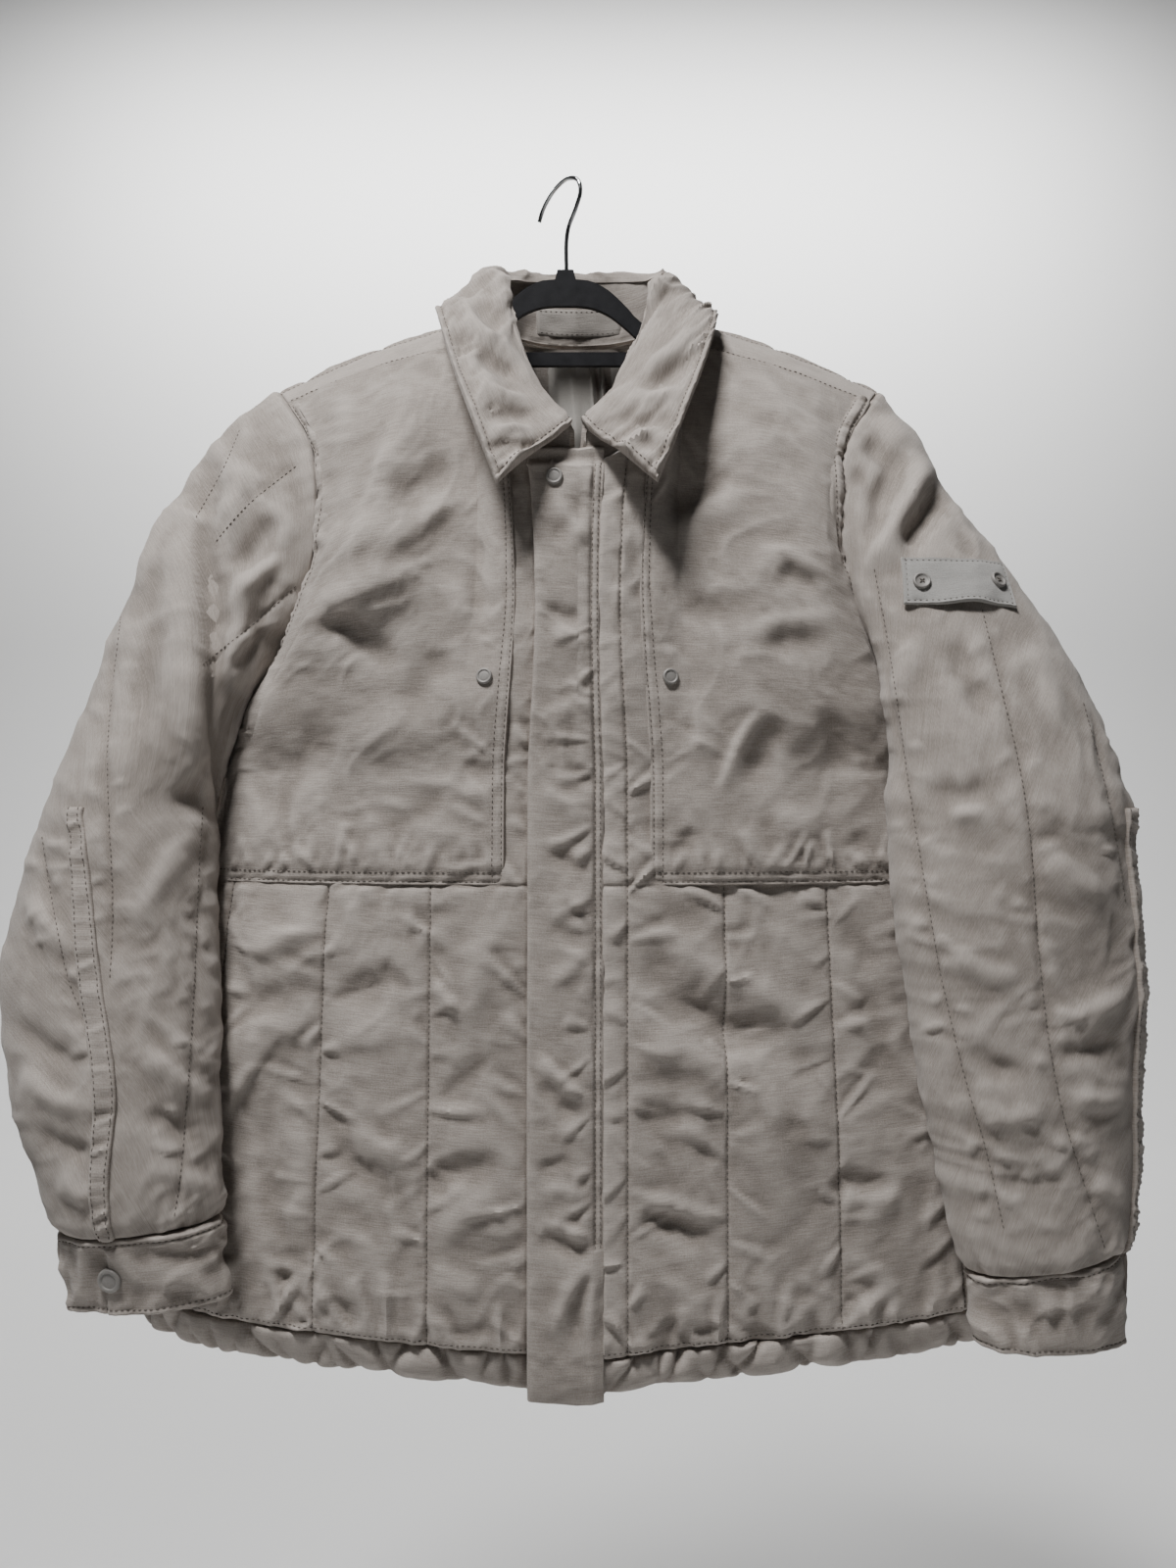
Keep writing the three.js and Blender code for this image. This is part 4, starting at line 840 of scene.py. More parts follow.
def front_half(label, side):
    """A front, quilted below the chest seam, with its armhole band."""
    v, f = np.meshgrid(front_rows, front_cols, indexing="ij")
    points = panel_point(v, f, "front", side)
    sheet = Sheet(points, inside_body(points))
    chest = smooth((v - CHEST_SEAM + 0.05) / 0.1)
    fold_all(sheet, CHEST_LINES[label])
    fold_all(sheet, SKIRT_LINES[label])
    covered = chest * smooth((f * CHEST - 50) / 8) * smooth((262 - f * CHEST) / 8)
    under_fly = smooth(((36 if label == "right" else 19) - f * CHEST) / 5)
    loose = (1 - covered) * (1 - 0.85 * under_fly)
    sheet.crumple(20 + side, mask=loose, broad=1.6, middle=1.0, fine=0.3)
    before = sheet.lift.copy()
    puff = np.zeros(v.shape)
    for a, b in zip(QUILT, [*QUILT[1:], SIDE_SEAM]):
        across = np.clip((f * CHEST - a) / (b - a), 0, 1)
        puff += 1.5 * (4 * across * (1 - across)) ** 0.8
    sheet.lift += puff * (1 - chest) * smooth((v - 1) / 0.12)
    if label == "left":  # level with the fly's stitched side
        width = f * CHEST
        sheet.lift += 4.4 * smooth((width - 11) / 5) * smooth((66 - width) / 40)
    for n, width in enumerate(QUILT):
        line = column_at(sheet, front_cols, width)
        sewn(sheet, upright(sheet, line), seed=100 + 10 * n + side, depth=0.9, puff=0.7, soft=6.0,
             height=1.0, spacing=14, reach=16)
        heights = sheet.v[:, len(front_cols) // 2]
        places = places_along(QUILTED_UP_TO, 17, 900 + 10 * n + side)
        spots = [(np.interp(place, heights, line), place, k % 2 * np.pi) for k, place in enumerate(places)]
        tucks(sheet, spots, 1000 + 10 * n + side, 2.0, 30, 3.0)
    spots = [(place, 0.0, UP) for place in places_along(sheet.width.mean(), 15, 960 + side)]
    tucks(sheet, spots, 970 + side, 2.6, 34, 3.4)
    for v_line, height in ((1, 1.5), (CHEST_SEAM, 1.1)):
        at = np.array([np.interp(v_line, front_rows, column) for column in sheet.v.T])
        sewn(sheet, level(sheet, at), seed=180 + int(v_line) + side, depth=0.6, puff=0.8, soft=4,
             height=1.5 * height, spacing=12, reach=20)
    detail = sheet.lift - before
    hidden = under_fly * 0.8 if label == "right" else 0.8 * smooth((19 - f * CHEST) / 4)
    sheet.lift = before + detail * (1 - covered) * (1 - hidden)
    armhole_band(sheet, side)
    sheet.rim(bottom=3.0, end=1.2)
    return make(f"front_{label}", sheet)


fronts = {label: front_half(label, side) for label, side in SIDES.items()}


def chest_panel(label, side):
    """A flat layer over the chest, up to the shoulder, with two rows of stitches along its edges."""
    columns = spread(50.0, 268.0, 2.3, (), 0.8, 3) / CHEST
    rows = body_rows(CHEST_SEAM + 0.005, 5.985, 2.3, "front")
    v, f = np.meshgrid(rows, columns, indexing="ij")
    points = panel_point(v, f, "front", side)
    sheet = Sheet(points, inside_body(points))
    fold_all(sheet, CHEST_LINES[label])
    sheet.crumple(40 + side, broad=1.5, middle=0.75, fine=0.3)
    thin = smooth(1 - (sheet.width - sheet.u) / 30) * smooth(sheet.v / 60)
    sheet.lift += 3.5 - 2.6 * thin - 1.7 * (1 - smooth(sheet.v / 15))
    for inset, amount in zip(PANEL_INSETS, (0.7, 1.2)):
        sewn(sheet, upright(sheet, inset), seed=60 + side + int(inset), depth=0.8, puff=0.2,
             height=amount * 0.5, spacing=7, reach=9)
        sewn(sheet, level(sheet, inset), seed=70 + side + int(inset), depth=0.9, puff=0.3,
             height=amount * 1.2, spacing=8, reach=17)
    edge = 9.0  # how far in the tucks begin
    spots = [(place, edge, UP) for place in places_along(sheet.width.mean(), 11, 980 + side)]
    tucks(sheet, spots, 985 + side, 1.7, 26, 2.6)
    spots = [(edge, place, 0.0) for place in places_along(sheet.height.mean(), 24, 990 + side)]
    tucks(sheet, spots, 995 + side, 1.2, 30, 3.0)
    sheet.rim(bottom=1.8, start=1.8, end=0.8)
    return make(f"chest_panel_{label}", sheet, 3.0)


panels = {label: chest_panel(label, side) for label, side in SIDES.items()}


def signed(half):
    return np.concatenate([-half[::-1], half[1:]])


BACK_LINES = [  # height, half width, path in the back's own x and z
    (4.0, 20, [(-150, -330), (-60, -360), (40, -352), (140, -330)]),
    (-3.0, 18, [(-180, -400), (-90, -430), (10, -420), (120, -410)]),
    (3.0, 18, [(-200, -620), (-120, -650), (-60, -700)]),
    (3.0, 18, [(220, -560), (150, -620), (90, -690)]),
    (-2.5, 16, [(30, -520), (60, -600), (50, -690)]),
    (-2.5, 16, [(-60, -520), (-90, -590), (-70, -660)]),
]


def back_panel():
    """The back, quilted all the way up."""
    columns = signed(arc_columns(3.2, QUILT))
    rows = body_rows(1, 6, 3.2, "back")
    v, f = np.meshgrid(rows, columns, indexing="ij")
    points = panel_point(v, np.abs(f), "back", sign_of(f))
    sheet = Sheet(points, inside_body(points))
    sheet.crumple(90, broad=1.8, middle=0.8, fine=0.2)
    width = np.abs(f) * CHEST
    for a, b in zip([-QUILT[0], *QUILT], [*QUILT, SIDE_SEAM]):
        across = np.clip((width - a) / (b - a), 0, 1)
        sheet.lift += 3.2 * (4 * across * (1 - across)) ** 0.6
    for n, line in enumerate([-width for width in QUILT[::-1]] + QUILT):
        sewn(sheet, upright(sheet, column_at(sheet, columns, line)), seed=200 + 10 * n,
             depth=1.2, puff=1.2, soft=3.0, height=1.0, spacing=11, reach=15)
    sewn(sheet, level(sheet, 0), seed=300, depth=0.5, puff=0.5, soft=4, height=1.6, spacing=9, reach=18)
    for height, half, path in BACK_LINES:
        curve = catmull(path, np.linspace(0, 1, 24))
        dx, dz = points[..., 0, None] - curve[:, 0], points[..., 2, None] - curve[:, 1]
        gap = np.sqrt(dx**2 + dz**2)
        ends = smooth(np.minimum(gap.argmin(-1), 23 - gap.argmin(-1)) / 7)
        sheet.lift += height * np.exp(-((gap.min(-1) / half) ** 2)) * (0.1 + 0.9 * ends)
    beside_seam = smooth((np.abs(f) - 0.94) / 0.05)
    sheet.lift += 6 * beside_seam * np.exp(-(((sheet.points[..., 2] - UNDERARM) / 26) ** 2))
    sheet.rim(bottom=3.0, start=1.5, end=1.5, top=2.0)
    return make("back", sheet)


back = back_panel()


def shoulder_strip(label, side):
    """The strip that joins a front to the back over the shoulder."""
    across = spread(NECK, 1, 3.0 / CHEST, (), 1.2 / CHEST, 3 / CHEST)
    rise = np.linspace(0, 1, 15)
    g = (across - NECK) / (1 - NECK)
    points = lerp(catmull(SHOULDER_SEAM, g)[None], catmull(SHOULDER_RIDGE, g)[None], rise[:, None, None])
    points = flipped(points, side)
    sheet = Sheet(points, points + np.array([0, 12, -40]))
    sheet.lift += 1.6 * np.sin(np.pi * rise)[:, None]
    sheet.crumple(340 + side, broad=0.5, middle=0.4, fine=0.2)
    for n, at in enumerate((0, sheet.height[0])):
        sewn(sheet, level(sheet, at), seed=350 + 2 * n + side, depth=0.5, puff=0.3, height=0.7,
             spacing=8, reach=9)
    sheet.rim(bottom=1.8, top=1.8, end=2.0)
    return make(f"shoulder_strip_{label}", sheet)


strips = {label: shoulder_strip(label, side) for label, side in SIDES.items()}

FLY_LINES = [
    (2.8, 7, [(556, 500), (580, 530), (604, 566)], 0.2),
    (-2.2, 7, [(600, 500), (584, 530), (566, 560)]),
    (2.6, 6, [(560, 640), (582, 650), (606, 662)], 0.3),
    (-2.4, 6, [(552, 618), (576, 630), (600, 632)]),
    (2.2, 8, [(548, 736), (576, 724), (604, 706)], 0.2),
    (-2.4, 6, [(574, 780), (592, 792), (610, 808)]),
    (2.2, 6, [(550, 800), (576, 820), (606, 836)], 0.2),
    (-2.0, 6, [(552, 872), (580, 880), (606, 900)]),
    (2.0, 7, [(552, 930), (580, 916), (606, 926)]),
    (2.2, 7, [(606, 960), (580, 990), (552, 1010)], 0.2),
    (3.4, 5, [(546, 1070), (570, 1094), (606, 1128)], 0.3),
    (-2.6, 6, [(548, 1100), (566, 1122), (590, 1140)]),
    (-3.4, 6, [(545, 1192), (566, 1186), (590, 1180)]),
    (2.6, 6, [(548, 1214), (574, 1210), (602, 1220)], 0.2),
    (-3.8, 6, [(545, 1256), (580, 1270), (612, 1276)]),
    (2.8, 5, [(548, 1240), (580, 1250), (608, 1262)], 0.2),
    (2.6, 6, [(612, 1278), (584, 1310), (560, 1366)], 0.2),
    (2.0, 5, [(614, 1280), (604, 1320), (602, 1370)]),
    (-2.2, 5, [(606, 1284), (592, 1320), (584, 1372)]),
]


def fly():
    """The stitched flap over the meeting fronts."""
    widths = spread(FLY_FROM, FLY_TO, 1.7, (FLY_SEAM,), 0.6, 2.0)
    rows = np.concatenate([body_rows(0, 1, 2.0, "front")[:-1], body_rows(1, 6, 2.0, "front")])
    v, w = np.meshgrid(rows, widths, indexing="ij")
    points = panel_point(v, np.abs(w) / CHEST, "front", sign_of(w))
    keep = points[:, :, 2].mean(1) < FLY_TOP + 2.5
    points = points[keep]
    top = points[-1, :, 2]
    points[-1, :, 2] = np.minimum(top, FLY_TOP)
    climb = np.arange(1, 9) * 1.7
    points = np.concatenate([points, points[-1:] + climb[:, None, None] * np.array([0, -0.12, 1.0])])
    sheet = Sheet(points, points * np.array([1.0, 0, 1]))
    fold_all(sheet, FLY_LINES)
    sheet.crumple(400, broad=0.8, middle=0.7, fine=0.25)
    seam = np.array([np.interp(FLY_SEAM, widths, row) for row in sheet.u])
    stitched = smooth((sheet.points[:, 0, 2] - FLY_STITCHED_FROM) / 4)
    line = upright(sheet, seam)
    before = sheet.lift.copy()
    sewn(sheet, line, seed=410, depth=1.3, puff=1.6, soft=4, height=1.1, spacing=9, reach=12)
    sewn(sheet, upright(sheet, seam + 5.5), seed=420, depth=0.9, puff=0.4, soft=3, height=0.6,
         spacing=9, reach=8)
    sheet.lift = before + (sheet.lift - before) * stitched[:, None]
    sewn(sheet, upright(sheet, 1.5), seed=430, depth=0.2, puff=0.0, height=0.9, spacing=12, reach=8)
    sewn_side = smooth((sheet.u - seam[:, None] + 3) / 9)
    spots = [(seam[0] - 3, place, np.pi) for place in places_along(FLY_TUCKED_UP_TO, 19, 1100)]
    tucks(sheet, spots, 1101, 1.7, 24, 3.0, mask=stitched[:, None])
    sheet.lift = np.maximum(sheet.lift, -2.6) + 6.8 - 2.2 * sewn_side
    sheet.lift = sheet.lift * (1 - 0.75 * smooth((sheet.points[..., 2] - FLY_TOP + 2) / 8))
    sheet.rim(start=2.2, end=0.7, bottom=2.5, top=2.5)
    return make("fly", sheet, 5.0)


fly_sheet = fly()


def hem_band(name, face, columns, seed):
    """The band under the hem seam, drawn up into short uneven ruching."""
    rows = np.interp(spread(0, 30, 1.7, (), 0.7, 2.5), [0, 30], [0, 1])
    v, f = np.meshgrid(rows, columns, indexing="ij")
    points = flipped(body_point(v, np.abs(f), face), sign_of(f))
    sheet = Sheet(points, points * np.array([0.5, 0, 1]) + np.array([0, -20, 0]))
    rise = sheet.v / sheet.height
    total = np.zeros(points.shape[:2])
    draw = np.random.RandomState(seed)
    for place in np.arange(4, sheet.width.max(), 14.0):
        centre = place + draw.uniform(-5, 5)
        slant, reach, height = draw.uniform(-24, 24), draw.uniform(3.0, 6.5), draw.uniform(2.5, 9.0)
        top_down = draw.uniform() < 0.65
        away = (1 - rise) if top_down else rise
        off = sheet.u - centre - slant * away
        total = total - height * np.exp(-np.abs(off / (reach * (0.6 + 0.9 * away)))) * (1 - 0.8 * away)
    swell = np.sin(np.pi * np.clip(rise, 0, 1) ** 0.85) ** 0.6
    cover = 1.0
    if face == "front":
        x = f * CHEST
        cover = 1 - smooth((38 - np.abs(x)) / 6) * smooth((x + 36) / 6) * smooth((20 - x) / 6)
    tucked = 8.5 * np.clip(1 - rise, 0, 1) ** 1.4
    uneven = 2.2 * noise2(sheet.u / 17, sheet.v / 15, seed + 3)
    sheet.lift = cover * (4.0 * swell - 1.5 - tucked + total + uneven)
    sheet.lift += cover * 0.3 * noise2(sheet.u / 5, sheet.v / 5, seed + 4)
    if face == "front":
        sheet.lift += 3.4 * smooth((f * CHEST - 11) / 6) * smooth((70 - f * CHEST) / 44)
    sheet.rim(bottom=3.2, top=3.0, start=2.0, end=2.0)
    return make(name, sheet)


hem_cols = arc_columns(1.9, ())
hems = {
    "right": hem_band("hem_front_right", "front", -hem_cols, 500),
    "left": hem_band("hem_front_left", "front", hem_cols, 520),
    "back": hem_band("hem_back", "back", signed(arc_columns(2.4, ())), 540),
}

# Sleeves and cuffs.
SLEEVES = {  # rings: z, outer x, inner x, y, depth in front and behind, twist, tilt
    "right": dict(seam=3, bulge=30, power=0.6, rings=[
        (-472, 371, 262, -62, 46, 42, -13, 0), (-530, 387, 257, -72, 46, 38, 1, 0),
        (-595, 395, 250, -84, 44, 34, 10, 0), (-660, 383, 246, -95, 40, 29, 14, 0),
        (-715, 363, 242, -103, 36, 25, 2, -3), (-755, 349, 240, -106, 32, 23, -4, -5),
    ], cuff=[
        (-755.5, 348, 240, -106, 32, 23, -4, -5), (-770, 346, 239, -106, 29, 22, -4, -5),
        (-808, 339, 237, -107, 25, 21, -4, -4),
    ]),
    "left": dict(seam=0, bulge=18, power=2, rings=[
        (-472, 375, 212, -91, 44, 24, 0, 0), (-530, 376, 217, -96, 44, 27, 0, 0),
        (-595, 377, 224, -99, 42, 27, 0, 0), (-660, 375, 234, -101, 40, 27, 0, 2),
        (-722, 375, 248, -103, 36, 25, 0, 5), (-778, 367, 262, -105, 32, 23, 0, 9),
    ], cuff=[
        (-778.5, 367, 262, -105, 32, 23, 0, 9), (-795, 368, 264, -105, 29, 22, 0, 6),
        (-835, 367, 266, -106, 25, 21, 0, 1),
    ]),
}
LOFT = [0, 0.12, 0.3, 0.52, 0.76]


def sleeve_ring(row, side, k):
    """Points round a sleeve, k steps on from its front edge."""
    z, outer, inner, y, front, back_depth, twist, tilt = row
    first = lerp(20.0, 205.0, k / 9)
    second = lerp(380.0, 205.0, np.maximum(2 - k / 9, 0) ** 1.25)
    turn = np.radians(np.where(k <= 9, first, second) + twist)
    depth = np.where(np.sin(turn) > 0, front, back_depth)
    x = (outer + inner) / 2 + (outer - inner) / 2 * np.cos(turn)
    return np.stack([x * side, y - depth * np.sin(turn), z + tilt * np.cos(turn)], -1)


def armhole(side, k):
    """Points round the armhole, by the same steps as a sleeve."""
    tip = lerp(np.array([228.0, 0, -161]), np.array([216.0, -24, -177]), k[:, None])
    front = catmull(FRONT_ARMHOLE, 1 - (k - 1) / 8)
    rear = catmull(BACK_ARMHOLE, (k - 9) / 9)
    ring = np.where((k < 1)[:, None], tip, np.where((k <= 9)[:, None], front, rear))
    return flipped(ring, side)


def clear_of_body(point):
    """Moves a sleeve's point out of the trunk."""
    z = min(point[2], -452)
    above = max(1, next((n for n in range(6) if BODY[n, 0] >= z), 5))
    low, high = BODY[above - 1], BODY[above]
    t = (z - low[0]) / (high[0] - low[0])
    half = lerp(low[3], high[3], t) + 13
    across = abs(point[0]) / half
    if point[2] > -438 or across >= 1:
        return point
    swell = (1 - across**2.3) ** (1 / 2.3)
    front = lerp(lerp(low[4], high[4], t), lerp(low[5], high[5], t) - 13, swell)
    return np.array([point[0], min(point[1], front), point[2]])


def clear_of_chest(point, over, clearance):
    """Moves a sleeve's point in front of the cloth of the chest."""
    for tree in over:
        hit = tree.ray_cast(Vector((point[0], -400, point[2])), Vector((0, 1, 0)))[0]
        if hit is not None:
            point = np.array([point[0], min(point[1], hit[1] - clearance), point[2]])
    return point


def sleeve_base(label, side):
    """A sleeve's coarse rings: five that leave the armhole, then those that hang."""
    spec, k = SLEEVES[label], np.arange(float(RING))
    ring, first = armhole(side, k), sleeve_ring(spec["rings"][0], side, k)
    over = [trees[f"front_{label}"], trees[f"chest_panel_{label}"]]
    rows = []
    for j, w in enumerate(LOFT):
        row = []
        for n in range(RING):
            if j == 0:
                row.append(ring[n])
                continue
            facing = np.radians(20 + n * 20)
            point = lerp(ring[n], first[n], w) + np.array([
                side * max(np.cos(facing), 0) * spec["bulge"] * np.sin(np.pi * w ** spec["power"]),
                -max(np.sin(facing), 0) * 6 * np.sin(np.pi * w), 0])
            point[0] += side * 14 * max(0, 1 - abs(n - 9) / 4) * max(0, 1 - w / 0.6)
            if 1 < n < 11:
                point = clear_of_chest(point, over, (0, 10, 11)[min(j, 2)])
            row.append(clear_of_body(point))
        rows.append(row)
    for place in np.linspace(0, 1, 11):
        row = catmull(spec["rings"], place)
        rows.append([clear_of_body(point) for point in sleeve_ring(row, side, k)])
    return np.array(rows)


def round_rows(coarse, r, k):
    """Smoothly between the rows and round the rings of a coarse tube."""
    rows = catmull(coarse.reshape(len(coarse), -1), r / (len(coarse) - 1)).reshape(len(r), -1, 3)
    count = rows.shape[1]
    i = np.floor(k).astype(int)
    t = (k - i)[None, :, None]
    a, b, c, d = (rows[:, (i + n) % count] for n in (-1, 0, 1, 2))
    return cubic(a, b, c, d, t)


def even_round(coarse, step):
    """Ring places evenly apart along the cloth."""
    probe = np.linspace(0, RING, 721)
    middle = round_rows(coarse, np.array([9.0]), probe % RING)[0]
    length = lengths(middle)
    count = int(length[-1] / step)
    return np.interp(np.linspace(0, length[-1], count + 1)[:-1], length, probe)


SLEEVE_LINES = {
    "right": dict(
        quilts=[
            [(124, 625), (112, 732), (110, 801), (115, 922), (112, 1000)],
            [(207, 822), (203, 887), (200, 956), (196, 1042), (186, 1180), (178, 1241)],
            [(43, 853), (52, 911), (62, 966), (74, 1011), (93, 1053), (108, 1088)],
            [(303, 475), (252, 516), (221, 552)],
            [(303, 597), (269, 628), (207, 678)],
            [(245, 438), (227, 480), (200, 528)],
        ],
        folds=[
            (5.0, 12, [(206, 470), (186, 548), (190, 640), (195, 720), (199, 800), (204, 900)], 0.25),
            (-2.6, 6, [(203, 500), (206, 560), (210, 640), (215, 720), (217, 790)]),
            (-3.5, 9, [(214, 560), (222, 640), (230, 720), (226, 780)]),
            (2.6, 9, [(262, 560), (240, 640), (236, 720)]),
            (3.0, 9, [(186, 500), (160, 560), (140, 610)], 0.3),
            (-4.0, 9, [(236, 452), (214, 496), (206, 540)]),
            (3.4, 8, [(262, 470), (244, 520), (226, 560)], 0.2),
            (-3.4, 8, [(284, 520), (256, 560), (232, 584)]),
            (3.4, 7, [(292, 560), (262, 590), (232, 612)], 0.2),
            (-3.0, 7, [(296, 640), (262, 662), (234, 690)]),
            (-2.4, 9, [(176, 620), (150, 690), (140, 760)]),
            (2.2, 9, [(196, 840), (160, 900), (132, 960)]),
            (2.4, 8, [(30, 900), (56, 950), (88, 985)], 0.2),
            (-2.4, 8, [(14, 1030), (50, 1068), (98, 1092)]),
            (2.8, 8, [(20, 1080), (60, 1118), (102, 1130)], 0.2),
            (-2.2, 8, [(40, 1150), (72, 1172), (104, 1176)]),
            (2.0, 8, [(56, 1200), (84, 1216), (106, 1220)]),
            (2.4, 9, [(146, 1060), (176, 1100), (216, 1120)], 0.2),
            (-2.2, 8, [(146, 1130), (180, 1150), (222, 1160)]),
            (1.8, 8, [(150, 1190), (186, 1200), (226, 1216)]),
            (2.4, 8, [(208, 440), (232, 474), (262, 500)]),
            (-2.0, 8, [(214, 760), (196, 800), (170, 840)]),
        ],
    ),
    "left": dict(
        quilts=[
            [(892, 579), (910, 678), (931, 824), (947, 919), (961, 999), (983, 1093), (1006, 1173),
             (1025, 1258)],
            [(1002, 621), (1020, 697), (1039, 777), (1051, 853), (1058, 947), (1068, 1046), (1082, 1126),
             (1101, 1192), (1127, 1273)],
            [(1105, 716), (1124, 787), (1138, 853), (1148, 919)],
        ],
        folds=[
            (7.0, 8, [(883, 596), (906, 548), (931, 500), (942, 458)], 0.35),
            (-6.0, 8, [(914, 574), (943, 522), (958, 478)]),
            (-4.5, 8, [(868, 474), (886, 500), (912, 520)]),
            (5.0, 8, [(888, 424), (922, 448), (954, 472)], 0.2),
            (-3.5, 7, [(880, 446), (908, 474), (924, 486)]),
            (3.5, 7, [(968, 456), (980, 500), (990, 532)], 0.2),
            (-3.6, 8, [(886, 560), (898, 520), (908, 470)]),
            (3.0, 8, [(886, 424), (924, 470), (960, 520)], 0.2),
            (-2.8, 8, [(920, 560), (950, 520), (968, 500)]),
            (2.6, 9, [(936, 640), (920, 700), (900, 742)]),
            (-2.4, 9, [(960, 650), (990, 690), (1008, 742)]),
            (2.4, 9, [(1034, 650), (1064, 700), (1084, 760)], 0.2),
            (1.8, 6, [(966, 836), (986, 830), (1008, 828)]),
            (-2.0, 9, [(940, 800), (980, 812), (1030, 800)]),
            (2.2, 9, [(1060, 860), (1096, 900), (1140, 914)]),
            (-2.6, 7, [(1070, 1076), (1106, 1072), (1146, 1060)]),
            (2.4, 8, [(1070, 1040), (1106, 1030), (1146, 1010)], 0.2),
            (2.2, 8, [(966, 960), (1000, 990), (1050, 1000)]),
            (-2.2, 8, [(980, 1060), (1020, 1090), (1060, 1094)]),
            (2.2, 8, [(990, 1130), (1030, 1140), (1070, 1130)]),
            (2.2, 8, [(1086, 1110), (1116, 1122), (1150, 1116)]),
            (-2.0, 7, [(1008, 1200), (1050, 1210), (1092, 1200)]),
            (2.0, 7, [(1110, 1200), (1132, 1216), (1150, 1216)]),
        ],
    ),
}


SHALLOW, DEEPER = 4, 1.6  # the sleeves' folds under this height are made so much deeper
SLEEVE_EDGE = [(222, 470), (196, 548), (200, 640), (206, 720), (210, 800), (214, 880), (222, 1000)]


def sleeve(label, side):
    """A whole sleeve as one tube. The cloth right of SLEEVE_EDGE lies deeper than that left of it."""
    lines = SLEEVE_LINES[label]
    coarse = sleeve_base(label, side)
    ks = even_round(coarse, 2.3)
    probe = np.linspace(0, 15, 1500)
    run = np.mean([round_rows(coarse, probe, np.array([float(n)]))[:, 0] for n in (3, 12)], 0)
    length = lengths(run)
    rs = np.interp(spread(0, length[-1], 2.4), length, probe)
    points = round_rows(coarse, rs, ks)
    slip = armhole(side, ks) - points[0]
    points = points + slip[None] * (1 - smooth(rs / 1.0))[:, None, None]
    centre = points.mean(1, keepdims=True)
    sheet = Sheet(points, np.broadcast_to(centre, points.shape), around=True)
    begin = smooth(sheet.v / 40)
    finish = smooth((sheet.height - sheet.v) / 12)
    if label == "right":
        edge = drawn(sheet, SLEEVE_EDGE, 70)
        away = smooth(np.where(edge.side < 0, edge.gap, 0) / 10) * edge.ends(0.25)
        raise_by(sheet, edge, -7.5 * away * smooth((sheet.v[edge.pick] - 14) / 50))
    for height, half, path, *lean in lines["folds"]:
        fold(sheet, (DEEPER if abs(height) < SHALLOW else 1) * height, half, path, *lean)
    sheet.crumple(600 + side, broad=1.7, middle=1.15, fine=0.3, mask=begin, flat=True)
    sheet.lift += 2.4 * begin * finish
    for n, path in enumerate(lines["quilts"]):
        sewn(sheet, drawn(sheet, path, 34), seed=620 + 10 * n + side, depth=0.9, puff=1.1, soft=6.0,
             height=1.2, spacing=12, reach=14, fade_ends=True)
        drawn_tucks(sheet, path, 1200 + 10 * n + side)
    rear = 1 - sheet.front
    for n, k in enumerate(REAR_QUILTS):
        at = np.array([np.interp(k, ks, row) for row in sheet.u])
        before = sheet.lift
        sewn(sheet, upright(sheet, at), seed=680 + 10 * n, depth=1.1, puff=1.9, soft=4.0, height=1.2,
             spacing=11, reach=13)
        sheet.lift = lerp(before, sheet.lift, rear * begin)
    sheet.lift += 3.4 * (1 - smooth(sheet.v / 30)) - 2.6 * np.exp(-((sheet.v / 2.6) ** 2))
    sewn(sheet, level(sheet, 0), seed=710 + side, depth=0.2, puff=0.2, height=1.6, spacing=10, reach=20)
    sewn(sheet, level(sheet, sheet.height[0]), seed=720 + side, depth=0.4, puff=1.0, height=1.8,
         spacing=9, reach=22)
    sheet.rim(bottom=1.0, top=3.0)
    sheet.ks, sheet.rs = ks, rs
    return make(f"sleeve_{label}", sheet, 4.2, [f"sleeve_{label}_top", f"sleeve_{label}_under"])


sleeves = {label: sleeve(label, side) for label, side in SIDES.items()}


def column_index(sheet, k):
    """The place in a sleeve's grid of a step round it."""
    count = len(sheet.ks)
    ks = np.concatenate([sheet.ks - RING, sheet.ks, sheet.ks + RING])
    index = np.concatenate([np.arange(count) - count, np.arange(count), np.arange(count) + count])
    return np.interp(k, ks, index)


def sleeve_strip(label):
    """The flat strip over a sleeve's seam, gathered across by its two rows of stitches."""
    sheet, spec = sleeves[label], SLEEVES[label]
    first = np.searchsorted(sheet.rs, 5.0)
    rows = np.arange(first, len(sheet.rs) - 0.9, 0.9)
    middle = column_index(sheet, float(spec["seam"]))
    spacing = sheet.width.mean() / len(sheet.ks)
    across = spread(-6.0, 11.5, 1.3, (), 0.6, 1.5) / spacing
    r, c = np.meshgrid(rows, middle + across, indexing="ij")
    points = sheet.at(r, c, 1.4)
    points = blurred_points(points, 2)
    half_way = points.shape[1] // 2
    outward = unit(points[:, half_way:half_way + 1] - sheet.points.mean((0, 1)))
    centre = points.mean(1, keepdims=True) - outward * 30
    strip = Sheet(points, centre)
    half = strip.width / 2
    rise = (strip.u - half) / half
    wave = 1 - 1.7 * np.abs(noise1((strip.v + 3 * rise) / 8.5, 730)) + 0.6 * noise1(strip.v / 3.9, 731)
    strip.lift += 1.3 + 1.5 * wave * (1 - np.abs(rise) ** 4)
    strip.rim(bottom=1.0, top=1.0, start=1.6, end=1.6)
    return make(f"sleeve_strip_{label}", strip, 1.8)


def blurred_points(points, steps):
    return np.stack([blurred(points[..., axis], steps) for axis in range(3)], -1)


sleeve_strips = {label: sleeve_strip(label) for label in SIDES}


